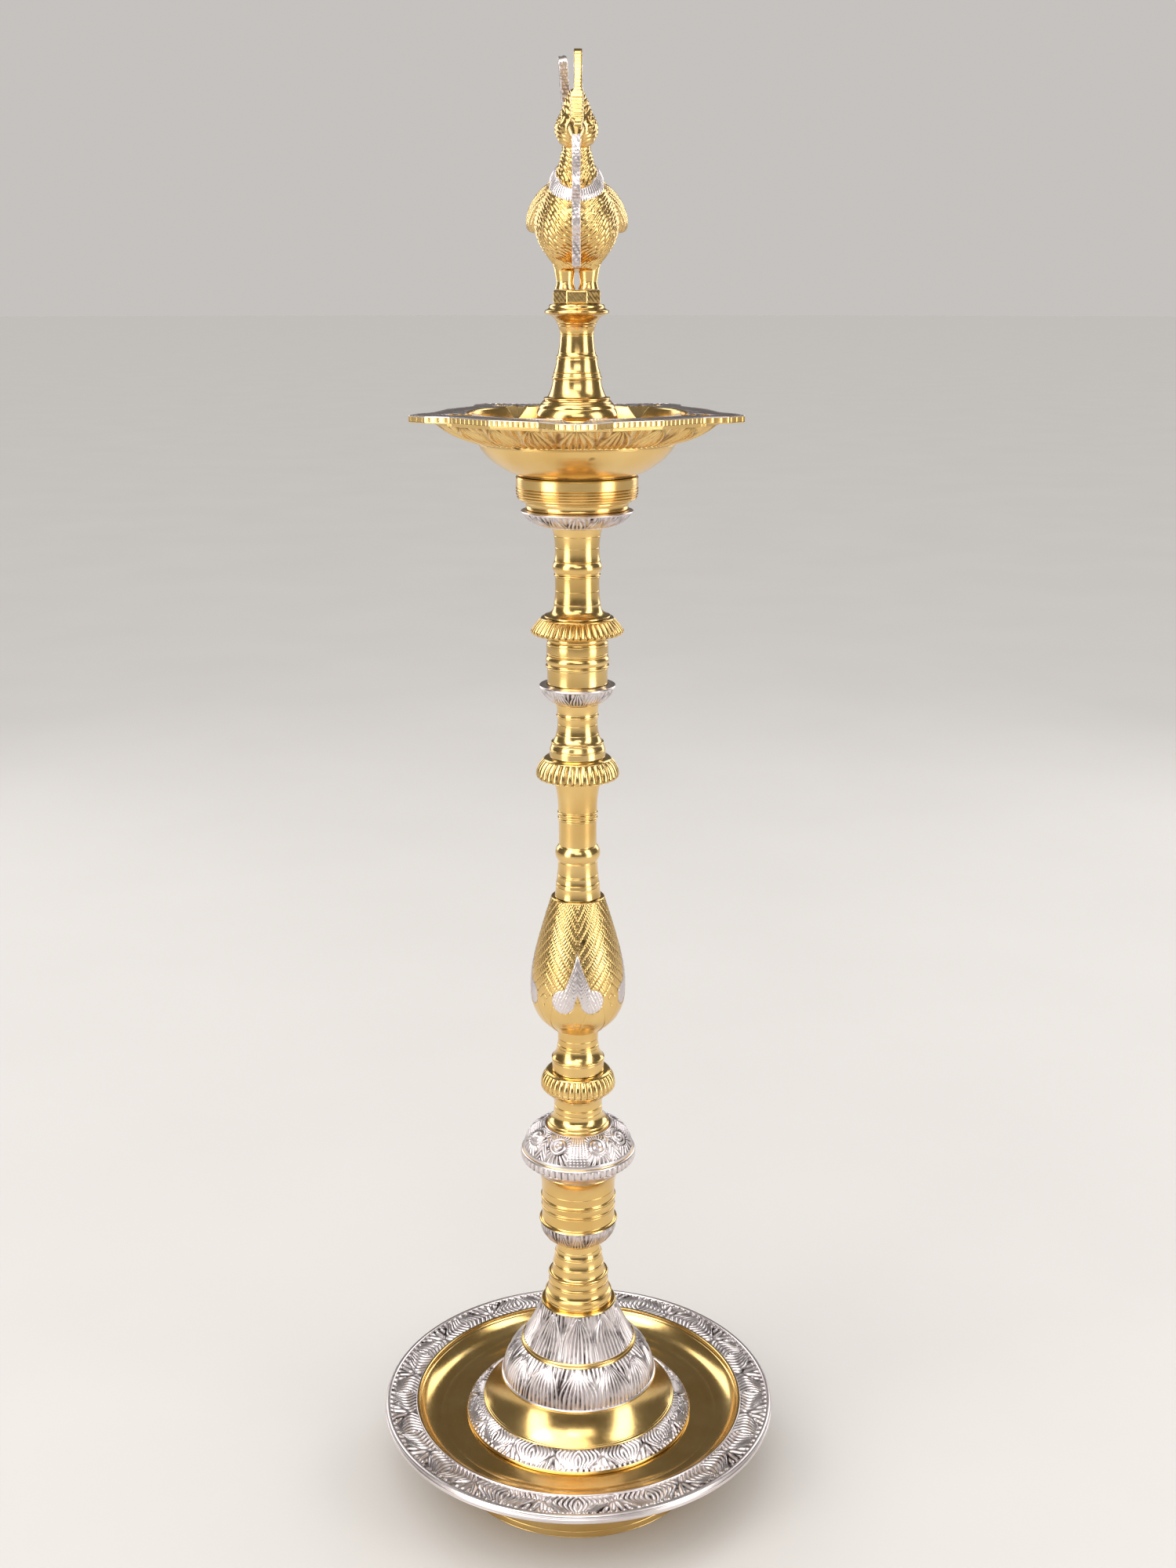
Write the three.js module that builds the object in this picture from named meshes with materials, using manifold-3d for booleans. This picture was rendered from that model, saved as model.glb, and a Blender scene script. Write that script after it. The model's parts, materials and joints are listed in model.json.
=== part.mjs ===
// A standing oil lamp (samai) in cast and turned brass with silvered petal bands: a footed tray,
// a bell pedestal, a stem of turned sections and collars that screw together, a five-spout oil pan
// and a bird finial. Millimetres, +Z up, origin on the floor at the centre of the foot ring.
// The bird faces -Y, and so does one of the five spouts.
import * as THREE from "three";
import { mergeVertices } from "three/addons/utils/BufferGeometryUtils.js";
import Module from "manifold-3d";

const wasm = await Module();
wasm.setup();

// ---- Driving dimensions ----
const GAP = 0.3; // between neighbouring pieces
const STUD_R = 8; // M16 studs that join the stem sections
const BORE_R = 8.4; // the holes that those studs enter
const THREAD = 10; // how far each stud is screwed in
const FINIAL_STUD_R = 5; // M10 stud under the bird
const FINIAL_BORE_R = 5.4;
const FINIAL_THREAD = 9;

const TRAY_R = 132.4;
const TRAY_RIM_Z = 53.5;
const TRAY_FLOOR_Z = 41.5;
const TRAY_FLOOR_THICKNESS = 3.5;
const FOOT_R = 84;
const FOOT_HEIGHT = 34;

const PEDESTAL = { z: TRAY_FLOOR_Z + GAP, height: 84.7, seat: 79.5 };
const TIE_BOLT_R = 5;
const TIE_BOLT_HOLE_R = 5.4;

const SPOUTS = 5;
const SPOUT_REACH = 101.5; // from the axis to a spout's blunt point
const PAN_BOWL_R = 64;
const PAN_PLATE = 4.3; // thickness of the pan's flat rim

// Sides of the turned pieces, by how large they are.
const SIDES_WIDE = 28;
const SIDES_MID = 18;
const SIDES_STEM = 14;

// ---- Materials ----
const metal = (color, roughness) => new THREE.MeshStandardMaterial({ color, roughness, metalness: 1 });
const brass = metal(0xd9a63a, 0.22);
const castBrass = metal(0xcf9a34, 0.34);
const silvered = metal(0xc9bdbb, 0.38);
const steel = metal(0x8f8f8c, 0.4);

// ---- Shape helpers ----
// Outline points are [radius, height]. The way from a to b, bowed sideways by `bow` mm: outwards
// where it is positive and the way leads up.
function bowed(a, b, bow, steps = 2) {
  const [dr, dz] = [b[0] - a[0], b[1] - a[1]];
  const length = Math.hypot(dr, dz);
  return Array.from({ length: steps + 1 }, (_, i) => {
    const t = i / steps;
    const swell = 4 * bow * t * (1 - t);
    return [a[0] + dr * t + (dz / length) * swell, a[1] + dz * t - (dr / length) * swell];
  });
}

// A fine raised line round a turned piece.
const fillet = (r, z, proud = 0.7, high = 1.2) => [
  [r, z],
  [r + proud, z + 0.2],
  [r + proud, z + high - 0.2],
  [r, z + high],
];

const turned = (outline, sides) =>
  new THREE.LatheGeometry(
    outline.map(([r, z]) => new THREE.Vector2(r, z)),
    sides,
  ).rotateX(Math.PI / 2);

// A turned section of the stem: a screwed socket below and a stud above. `outer` runs from the
// bottom face to the top face, and `stud` is the stud's length.
function stemSection(outer, { socket = THREAD + 0.5, stud = THREAD, sides = SIDES_STEM, hollow = [] } = {}) {
  const top = outer[outer.length - 1][1];
  return turned(
    [
      ...(hollow.length ? hollow : [[0, socket]]),
      [BORE_R, socket],
      [BORE_R, 0],
      ...outer,
      [STUD_R, top],
      [STUD_R, top + stud],
      [0, top + stud],
    ],
    sides,
  );
}

// A collar with a plain hole: `outer` runs from the bottom face to the top face.
function collar(outer, bore = BORE_R, sides = SIDES_STEM, inner = []) {
  const top = outer[outer.length - 1][1];
  const outline = [[bore, 0], ...outer, [bore, top], ...inner];
  return turned([...outline, outline[0]], sides);
}

// A flat outline in the bird's middle plane, [forwards(-)/backwards(+), up], as a plate.
function plate(points, thickness) {
  const shape = new THREE.Shape(points.map(([y, z]) => new THREE.Vector2(y, z)));
  const made = new THREE.ExtrudeGeometry(shape, { depth: thickness, bevelEnabled: false, curveSegments: 6 });
  // Shape x becomes +Y and shape y becomes +Z, with the thickness centred on X.
  return made.translate(0, 0, -thickness / 2).rotateX(Math.PI / 2).rotateZ(Math.PI / 2);
}

// ---- Joining and cutting ----
function solid(geometry) {
  const bare = geometry.index ? geometry.toNonIndexed() : geometry.clone();
  bare.deleteAttribute("normal");
  bare.deleteAttribute("uv");
  const merged = mergeVertices(bare, 1e-3);
  return new wasm.Manifold(
    new wasm.Mesh({
      numProp: 3,
      vertProperties: merged.attributes.position.array,
      triVerts: new Uint32Array(merged.index.array),
    }),
  );
}

function geometryOf(manifold) {
  const mesh = manifold.getMesh();
  return new THREE.BufferGeometry()
    .setAttribute("position", new THREE.BufferAttribute(mesh.vertProperties, 3))
    .setIndex(new THREE.BufferAttribute(mesh.triVerts, 1));
}

function ellipsoid([x, y, z], [rx, ry, rz], around = 14, up = 9) {
  return solid(
    new THREE.SphereGeometry(1, around, up).rotateX(Math.PI / 2).scale(rx, ry, rz).translate(x, y, z),
  );
}

// A round bar from a to b, tapering from radius ra to rb.
function bar(a, b, ra, rb, sides = 10) {
  const [from, to] = [new THREE.Vector3(...a), new THREE.Vector3(...b)];
  const along = to.clone().sub(from);
  const turn = new THREE.Quaternion().setFromUnitVectors(new THREE.Vector3(0, 1, 0), along.clone().normalize());
  const middle = from.clone().addScaledVector(along, 0.5);
  return solid(
    new THREE.CylinderGeometry(rb, ra, along.length(), sides).applyQuaternion(turn).translate(...middle.toArray()),
  );
}

// ---- Base ----
const footRing = () =>
  turned(
    [
      [FOOT_R - 4, 0],
      [FOOT_R, 0],
      ...bowed([FOOT_R - 1, 4], [FOOT_R + 1, FOOT_HEIGHT], -1.5),
      [FOOT_R - 4, FOOT_HEIGHT],
      [FOOT_R - 4, 0],
    ],
    SIDES_WIDE,
  );

// A dish with a broad rim, with a hole for the tie bolt and a seat for the foot ring beneath.
function baseTray() {
  const floor = TRAY_FLOOR_Z;
  const underside = floor - TRAY_FLOOR_THICKNESS;
  const outline = [
    [FOOT_R - 4.5, FOOT_HEIGHT + GAP],
    [FOOT_R + 2, FOOT_HEIGHT + GAP],
    ...bowed([FOOT_R + 5, 37], [TRAY_R - 6, 46.5], 1.5),
    [TRAY_R - 1, 47.2],
    [TRAY_R, 49],
    [TRAY_R, TRAY_RIM_Z - 1],
    [TRAY_R - 1.2, TRAY_RIM_Z],
    [110, TRAY_RIM_Z - 1],
    [108.6, TRAY_RIM_Z - 1.6],
    ...bowed([107.5, TRAY_RIM_Z - 4], [88, 40.8], -2),
    [79, floor],
    [TIE_BOLT_HOLE_R, floor],
    [TIE_BOLT_HOLE_R, underside],
    [FOOT_R - 5.2, underside - 0.3],
  ];
  return turned([...outline, outline[0]], SIDES_WIDE);
}

// A hollow bell that stands on the tray: two petal bands, a plain band and a third petal band.
function basePedestal() {
  const outer = [
    [76.6, 0],
    [76.6, 1.8],
    ...bowed([75.8, 2.4], [64.9, 11.4], 1.0),
    [64.0, 12],
    ...bowed([63.6, 12.8], [52.4, 29.6], -1.4),
    [51.7, 30.6],
    ...bowed([51.6, 32.4], [38.8, 53.6], 3.0),
    [37.8, 54.4],
    [37.8, 56.2],
    ...bowed([36.6, 57.2], [25, PEDESTAL.height - 0.7], -0.9),
    [24.4, PEDESTAL.height],
  ];
  const inner = [
    [22.7, PEDESTAL.height],
    [22.7, PEDESTAL.seat],
    [TIE_BOLT_HOLE_R, PEDESTAL.seat],
    [TIE_BOLT_HOLE_R, PEDESTAL.seat - 3.5],
    [21.2, PEDESTAL.seat - 4.5],
    [33.5, 54],
    [47, 31],
    [60, 10],
    [73, 0],
  ];
  return turned([...outer, ...inner, outer[0]], SIDES_WIDE);
}

const NECK_Z = PEDESTAL.z + PEDESTAL.seat + GAP;
const NECK_HEIGHT = 48.3;
const TIE_DEPTH = 20; // how deep the tie bolt enters the pedestal's neck

function pedestalNeck() {
  const outer = [
    [22.4, 0],
    [22.1, 11.6],
    [20.5, 12.8],
    [19.4, 22.6],
    [20, 23.4],
    [19.8, 25.2],
    [17.9, 26],
    [16.9, 32],
    ...bowed([16.5, 33], [14.2, NECK_HEIGHT], -0.2, 2),
  ];
  const top = outer[outer.length - 1][1];
  return turned(
    [
      [0, TIE_DEPTH],
      [TIE_BOLT_HOLE_R, TIE_DEPTH],
      [TIE_BOLT_HOLE_R, 0],
      ...outer,
      [STUD_R, top],
      [STUD_R, top + THREAD],
      [0, top + THREAD],
    ],
    SIDES_STEM,
  );
}
const NECK_TOP_Z = NECK_Z + NECK_HEIGHT;

const WASHER = { z: TRAY_FLOOR_Z - TRAY_FLOOR_THICKNESS - GAP - 2.6, height: 2.6, radius: 19 };
const TIE_HEAD = { z: WASHER.z - GAP - 7, height: 7, radius: 10.5 };

function tieBolt() {
  const head = turned(
    [
      [0, TIE_HEAD.z],
      [TIE_HEAD.radius, TIE_HEAD.z],
      [TIE_HEAD.radius, TIE_HEAD.z + TIE_HEAD.height],
      [0, TIE_HEAD.z + TIE_HEAD.height],
    ],
    6,
  );
  const length = NECK_Z + TIE_DEPTH - 1.5 - TIE_HEAD.z;
  const shank = new THREE.CylinderGeometry(TIE_BOLT_R, TIE_BOLT_R, length, 14)
    .rotateX(Math.PI / 2)
    .translate(0, 0, TIE_HEAD.z + length / 2);
  return geometryOf(solid(head).add(solid(shank)));
}

// ---- Stem ----
const CUP_TOP = 53.8;
const SCROLL_COLLAR_HEIGHT = 29.2;

// A goblet-shaped drum with a petalled bottom. Its stud goes through the scroll collar.
const lowerCup = () =>
  stemSection(
    [
      ...bowed([14.6, 0], [25.6, 15.6], 3.2, 4),
      [26, 17],
      [24.3, 18],
      [24.1, 25.7],
      ...fillet(24.2, 26.3),
      [24.3, 32.3],
      ...fillet(24.4, 32.9, 1.0),
      ...bowed([24.2, 36], [27, CUP_TOP], -0.9),
    ],
    {
      stud: SCROLL_COLLAR_HEIGHT + 2 * GAP + THREAD,
      sides: SIDES_MID,
      hollow: [
        [0, 47],
        [19.5, 47],
        [20.5, 21],
        [12, 11.5],
      ],
    },
  );

// A domed collar with a ribbed edge, open beneath, whose crown stands round the section above.
const scrollCollar = () =>
  collar(
    [
      [27.4, 0],
      [34.2, 5.6],
      [37.1, 8],
      [37.6, 13],
      [36.6, 14.4],
      [35.8, 17],
      ...bowed([35.6, 17.6], [22.2, 30.6], 2.9, 4),
      [21, 31],
      [20.6, SCROLL_COLLAR_HEIGHT],
    ],
    BORE_R,
    SIDES_MID,
    [
      [BORE_R, SCROLL_COLLAR_HEIGHT - 3.4],
      [20, SCROLL_COLLAR_HEIGHT - 3.6],
      [32.4, 20],
      [33.2, 9.4],
      [22, 0.01],
    ],
  );

const waistSpool = () =>
  stemSection([
    [19.9, 0],
    [19.9, 1.8],
    [20.3, 2.3],
    [19.2, 3.4],
    ...bowed([19.1, 4.4], [15.8, 12], -1.1),
    ...bowed([15.6, 14.6], [16.9, 22.4], -0.3, 2),
  ]);

const lowerRibbedCollar = () =>
  collar([
    [17, 0],
    [21.2, 2.8],
    [24.2, 6.4],
    ...bowed([24.4, 7.8], [20.8, 16.5], 0.9),
    [18.8, 17.6],
  ]);

const lowerNeck = () =>
  stemSection([
    [17, 0],
    [16.8, 6.6],
    ...fillet(16.8, 7, 0.6, 1.4),
    ...bowed([16.2, 9], [13.4, 15.8], -0.6),
    ...bowed([13.2, 17.6], [14, 28.9], -0.3, 2),
  ]);

const BULB_HEIGHT = 89.4;
// A hollow pear-shaped bulb, engraved outside.
const bulb = () =>
  stemSection(
    [
      [15.2, 0],
      [17.4, 0.8],
      ...bowed([17.6, 1.2], [30.2, 24], 3.4, 3),
      [30.6, 30],
      ...bowed([30.3, 36], [17.2, BULB_HEIGHT - 0.6], 1.0, 3),
      [16.6, BULB_HEIGHT],
    ],
    {
      sides: SIDES_MID,
      hollow: [
        [0, 74],
        [14, 70],
        [26.5, 32],
        [24, 18],
      ],
    },
  );

const BULB_NECK_HEIGHT = 77.4;
const MIDDLE_COLLAR_HEIGHT = 13.5;
const bulbNeck = () =>
  stemSection(
    [
      [14.7, 0],
      [13.9, 6.8],
      [12.9, 14],
      [12.4, 23.2],
      ...bowed([12.4, 23.8], [12.4, 33.2], 1.8, 4),
      [11.9, 33.9],
      ...fillet(12, 50.8, 0.7),
      ...fillet(12.1, 54.2, 0.8),
      ...bowed([12.2, 56.2], [15.2, BULB_NECK_HEIGHT], -0.8),
    ],
    { stud: MIDDLE_COLLAR_HEIGHT + 2 * GAP + THREAD },
  );

const middleRibbedCollar = () =>
  collar([
    [25.2, 0],
    [26, 2],
    ...bowed([25.8, 3.4], [21, 12], 0.9),
    [17.6, MIDDLE_COLLAR_HEIGHT],
  ]);

const middleSpool = () =>
  stemSection([
    [17.4, 0],
    [16.4, 7],
    ...fillet(16, 7.4, 0.6, 1.6),
    ...bowed([14.9, 10], [12.5, 19], -0.4),
    [12.6, 26],
    [13.7, 33.4],
  ]);

const middlePetalCollar = () =>
  collar([
    [14, 0],
    ...bowed([14.6, 0.3], [23.2, 9.6], 1.5),
    [23.5, 11.2],
    [19, 12.2],
  ]);

const middleDrum = () =>
  stemSection([
    [18.6, 0],
    [18.6, 9.4],
    ...fillet(18.7, 9.9, 1.5, 1.6),
    ...bowed([18.6, 12], [18.6, 17], 0.8),
    [18.9, 18.4],
    [18.9, 24],
    ...bowed([18.6, 25.4], [16.8, 30.2], 0.7, 2),
  ]);

const upperRibbedDisc = () =>
  collar([
    [26.8, 0],
    [28.4, 1.6],
    [22.4, 9.5],
    [20.8, 10.4],
  ]);

const PETAL_COLLAR_HEIGHT = 10.4;
const SEAT_HEIGHT = 19.7;
const upperSpool = () =>
  stemSection(
    [
      [20.2, 0],
      ...bowed([19.6, 1], [14.2, 8.4], -1.8, 4),
      ...bowed([13.7, 10.4], [13.6, 24.2], -0.2, 2),
      ...fillet(13.6, 24.7, 0.9, 1.3),
      ...bowed([13.9, 27], [13.9, 33.4], 1.1),
      ...bowed([13.8, 34.2], [15.9, 54], -0.9),
    ],
    { stud: PETAL_COLLAR_HEIGHT + SEAT_HEIGHT + 3 * GAP + THREAD },
  );

const panPetalCollar = () =>
  collar(
    [
      [18.4, 0],
      ...bowed([20, 0.4], [33.4, 8.4], 1.6, 4),
      [33.9, 9.4],
      [31, PETAL_COLLAR_HEIGHT],
    ],
    BORE_R,
    SIDES_MID,
  );

// A grooved drum, hollow above, that the pan stands on.
const panSeatRing = () =>
  collar(
    [
      [30.8, 0],
      [31.2, 3.6],
      [35.4, 4.8],
      ...fillet(35.9, 6, 0.7, 2),
      ...fillet(35.9, 9, 0.7, 2),
      [36.5, 12],
      [36.5, SEAT_HEIGHT - 0.8],
      [35.4, SEAT_HEIGHT],
    ],
    32.8,
    SIDES_MID,
    [
      [32.8, 4.6],
      [BORE_R, 4.6],
      [BORE_R, 0.01],
    ],
  );

// ---- Oil pan ----
const PAN_HEIGHT = 37;
const PAN_FLOOR = 6.6;
const BOSS = { radius: 13.5, height: 13.6 };

// The pan's plan: five spouts, each a blunt point with stepped shoulders, and a shallow lobe between
// each two. Corners are [reach, half width].
const SPOUT_CORNERS = [
  [82.4, -20.5],
  [94.8, -11.3],
  [SPOUT_REACH, 0],
  [94.8, 11.3],
  [82.4, 20.5],
];
const LOBE_R = 83;

function panOutline() {
  const points = [];
  for (let i = 0; i < SPOUTS; i++) {
    const angle = (i / SPOUTS) * 2 * Math.PI - Math.PI / 2;
    const next = angle + Math.PI / SPOUTS;
    for (const [reach, side] of SPOUT_CORNERS) {
      points.push([
        reach * Math.cos(angle) - side * Math.sin(angle),
        reach * Math.sin(angle) + side * Math.cos(angle),
      ]);
    }
    points.push([LOBE_R * Math.cos(next), LOBE_R * Math.sin(next)]);
  }
  return new THREE.Shape(points.map(([x, y]) => new THREE.Vector2(x, y)));
}

// The trough that a wick lies in, from the bowl out towards the spout's end, along -Y.
const WICK_TROUGH = { from: 50, to: 91, wide: 11, narrow: 4.4 };
const wickTrough = () =>
  bar(
    [0, -WICK_TROUGH.from, PAN_HEIGHT + 1],
    [0, -WICK_TROUGH.to, PAN_HEIGHT + 1],
    WICK_TROUGH.wide,
    WICK_TROUGH.narrow,
    12,
  );

function oilPan() {
  const plateGeometry = new THREE.ExtrudeGeometry(panOutline(), {
    depth: PAN_PLATE,
    bevelEnabled: false,
  }).translate(0, 0, PAN_HEIGHT - PAN_PLATE);
  const under = turned(
    [
      [0, THREAD + GAP],
      [BORE_R, THREAD + GAP],
      [BORE_R, 0],
      [34.6, 0],
      [36.4, 0.4],
      ...bowed([42, 2.4], [57.4, 16.8], 1.8),
      [59.2, 18.8],
      ...bowed([60, 19.4], [81, PAN_HEIGHT - PAN_PLATE - 1.4], 1.4),
      [81, PAN_HEIGHT - PAN_PLATE + 1],
      [0, PAN_HEIGHT - PAN_PLATE + 1],
    ],
    SIDES_WIDE,
  );
  const bowl = turned(
    [
      [0, PAN_FLOOR],
      [26, PAN_FLOOR],
      ...bowed([34, 8.2], [60, 23], 3.2, 4),
      [PAN_BOWL_R - 1, 29],
      [PAN_BOWL_R, PAN_HEIGHT + 1],
      [0, PAN_HEIGHT + 1],
    ],
    SIDES_WIDE,
  );
  const boss = turned(
    [
      [BORE_R, THREAD + GAP - 2],
      [BORE_R, PAN_FLOOR - 2],
      [BOSS.radius, PAN_FLOOR - 2],
      [BOSS.radius, BOSS.height],
      [STUD_R, BOSS.height],
      [STUD_R, BOSS.height + THREAD],
      [0, BOSS.height + THREAD],
      [0, THREAD + GAP],
      [BORE_R, THREAD + GAP],
      [BORE_R, THREAD + GAP - 2],
    ],
    SIDES_STEM,
  );
  let pan = solid(plateGeometry).add(solid(under)).subtract(solid(bowl)).add(solid(boss));
  for (let i = 0; i < SPOUTS; i++) pan = pan.subtract(wickTrough().rotate([0, 0, (360 / SPOUTS) * i]));
  return geometryOf(pan);
}

// The bell-shaped post in the middle of the pan, screwed over the pan's boss.
const CONE_HEIGHT = 79;
function panCone() {
  return turned(
    [
      [0, 18.6],
      [BORE_R, 18.6],
      [BORE_R, 7.6],
      [BOSS.radius + 0.5, 7.6],
      [BOSS.radius + 0.5, 0],
      [25.2, 0],
      ...bowed([25, 1], [22.6, 32], 0.6),
      ...bowed([22.2, 33.4], [19.4, 36.6], 0.4, 2),
      [19.6, 38.2],
      ...bowed([17.2, 39], [14.2, 48], -0.4, 2),
      ...fillet(14.2, 48.8, 1.0, 1.6),
      ...bowed([13.8, 52], [11.9, 60.2], -0.3, 2),
      ...fillet(11.7, 60.8, 0.6, 1.4),
      ...bowed([10.7, 65], [11, CONE_HEIGHT], -0.9),
      [FINIAL_BORE_R, CONE_HEIGHT],
      [FINIAL_BORE_R, CONE_HEIGHT - FINIAL_THREAD - 1.5],
      [0, CONE_HEIGHT - FINIAL_THREAD - 1.5],
    ],
    SIDES_MID,
  );
}

// ---- Finial ----
const FLANGE_HEIGHT = 12;
const finialFlange = () =>
  collar(
    [
      [11, 0],
      ...bowed([11.4, 1], [17.4, 6.4], -0.8, 2),
      [18.8, 7.2],
      [18.6, 8.4],
      ...bowed([17.6, 9], [16.2, FLANGE_HEIGHT], -0.3, 2),
    ],
    FINIAL_BORE_R,
  );

const PLINTH = { radius: 15, height: 7.6, bore: 5 };
const finialPlinth = () =>
  geometryOf(
    solid(new THREE.CylinderGeometry(PLINTH.radius, PLINTH.radius, PLINTH.height, 8).rotateX(Math.PI / 2))
      .rotate([0, 0, 22.5])
      .translate([0, 0, PLINTH.height / 2])
      .subtract(bar([0, 0, -1], [0, 0, PLINTH.bore], FINIAL_BORE_R, FINIAL_BORE_R, 14)),
  );

const finialStud = () =>
  new THREE.CylinderGeometry(
    FINIAL_STUD_R,
    FINIAL_STUD_R,
    FINIAL_THREAD + FLANGE_HEIGHT + 2 * GAP + PLINTH.bore - GAP,
    14,
  ).rotateX(Math.PI / 2);

// The bird, from the plinth's top up: +Z up, its beak towards -Y. `grow` mm is added all over, so
// that the same form cuts the pieces that sit on it.
const HEAD = { at: [0, -15, 86.5], radii: [12.4, 13.5, 12] };
const BEAK_TIP = [0, -36.5, 79];
function birdForm(grow = 0) {
  const radii = (list) => list.map((r) => r + grow);
  const [legX, legY] = [6.7, 3];
  let form = ellipsoid([0, 4, 37.5], radii([25, 30, 25.6]), 16, 11)
    .add(bar([0, 3, 10.6], [0, 4, 22], 11 + grow, 19.8 + grow, 12))
    .add(bar([0, -2, 50], [0, -8, 67], 21.2 + grow, 10.8 + grow, 12))
    .add(bar([0, -8, 64], [0, -13, 77], 11.4 + grow, 7.8 + grow, 12))
    .add(bar([0, -12, 74], [0, -14, 84], 8 + grow, 8.6 + grow, 12))
    .add(bar([0, -15, 89], [0, -17, 106.5], 12 + grow, 4.6 + grow, 12))
    .add(ellipsoid(HEAD.at, radii(HEAD.radii)))
    .add(bar([0, -25, 86], BEAK_TIP, 5.5 + grow, 1.6 + grow, 8));
  for (const side of [-1, 1]) {
    form = form
      .add(bar([side * legX, legY, 0], [side * legX, legY, 4], 6.2 + grow, 5 + grow))
      .add(bar([side * legX, legY, 3], [side * legX * 1.15, legY, 20], 4.8 + grow, 6 + grow));
  }
  return form;
}

const PLATE_THICKNESS = 5.2;

// A plume on the forehead whose flat front edge runs up from the beak.
const crestOutline = [
  [-31.6, 84],
  [-31, 96],
  [-25.4, 110],
  [-19, 121],
  [-13.6, 129.2],
  [-6.6, 128.8],
  [-4.5, 119],
  [-3, 110],
  [0, 102],
  [-6, 94],
];
const faceOutline = [
  [-31.4, 89],
  [-31, 96],
  [-27.6, 105.5],
  [-22, 105.5],
  [-22, 89],
];
const FACE_THICKNESS = 8;

// A leafy spray that hangs from the beak, touches the breast and ends before the legs.
const garlandOutline = [
  [-35.2, 83],
  [-38.6, 80],
  [-43, 70],
  [-39.5, 62],
  [-43.5, 54],
  [-38, 46],
  [-40.5, 36],
  [-36, 26],
  [-34, 12],
  [-28.5, 13],
  [-24, 24],
  [-20, 34],
  [-20, 46],
  [-30, 52],
  [-32.4, 60],
  [-33.4, 70],
  [-33, 80],
];

// A tail that rises from the rump behind the head and curls forwards at the top.
const TAIL_TOP = 130.4;
const tailOutline = [
  [22, 30],
  [40, 34],
  [52, 44],
  [60, 60],
  [62, 78],
  [58, 96],
  [50, 111],
  [38, 123.5],
  [26, TAIL_TOP],
  [17, 126.5],
  [22, 116],
  [31, 104],
  [37, 90],
  [36, 74],
  [28, 62],
  [16, 54],
];

// The tail leans to the bird's right, by these degrees about a point on its middle line.
const TAIL_LEAN = -6.2;
const TAIL_PIVOT = 60;
const leaning = (piece) =>
  piece.translate([0, 0, -TAIL_PIVOT]).rotate([0, TAIL_LEAN, 2]).translate([0, 0, TAIL_PIVOT]);

function birdPieces() {
  const clear = birdForm(GAP);
  const tail = leaning(solid(plate(tailOutline, PLATE_THICKNESS)));
  const tailClear = leaning(solid(plate(tailOutline, PLATE_THICKNESS + 2 * GAP)));
  const garland = solid(plate(garlandOutline, PLATE_THICKNESS - 0.4));
  const garlandClear = solid(plate(garlandOutline, PLATE_THICKNESS - 0.4 + 2 * GAP));
  const crest = solid(plate(crestOutline, PLATE_THICKNESS)).add(
    solid(plate(faceOutline, FACE_THICKNESS)),
  );
  const pieces = {
    peacock_body: birdForm(),
    peacock_crest: crest.subtract(clear).subtract(garlandClear),
    beak_garland: garland.subtract(clear),
    peacock_tail: tail.subtract(clear),
  };
  // The necklace is the part of a slightly larger bird that lies in a tilted slab round the neck.
  const slab = solid(new THREE.BoxGeometry(90, 90, 4.6))
    .rotate([34, 0, 0])
    .translate([0, -11, 60]);
  const necklace = birdForm(GAP + 1.6).intersect(slab).subtract(clear).subtract(garlandClear);
  pieces.neck_band = necklace.subtract(tailClear);
  // Each wing is a lens on the bird's side whose top leans in and whose rear end stands off the body.
  for (const [name, side] of [["left_wing", -1], ["right_wing", 1]]) {
    pieces[name] = ellipsoid([0, 0, 0], [7.4, 23, 12.4], 14, 8)
      .rotate([-24, -side * 25, -side * 9])
      .translate([side * 19.4, 11, 45.6])
      .subtract(clear)
      .subtract(birdForm(2 * GAP + 1.6).intersect(slab));
  }
  return pieces;
}

// ---- Assembly ----
const lamp = new THREE.Group();

function put(name, geometry, material, z = 0, parent = lamp) {
  const mesh = new THREE.Mesh(geometry, material);
  mesh.name = name;
  mesh.position.z = z;
  parent.add(mesh);
}

put("foot_ring", footRing(), brass);
put("base_tray", baseTray(), brass);
put("base_pedestal", basePedestal(), silvered, PEDESTAL.z);
put("pedestal_tie_bolt", tieBolt(), steel);
put(
  "tie_bolt_washer",
  collar([[WASHER.radius, 0], [WASHER.radius, WASHER.height]], TIE_BOLT_HOLE_R),
  steel,
  WASHER.z,
);
put("pedestal_neck", pedestalNeck(), brass, NECK_Z);

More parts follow.
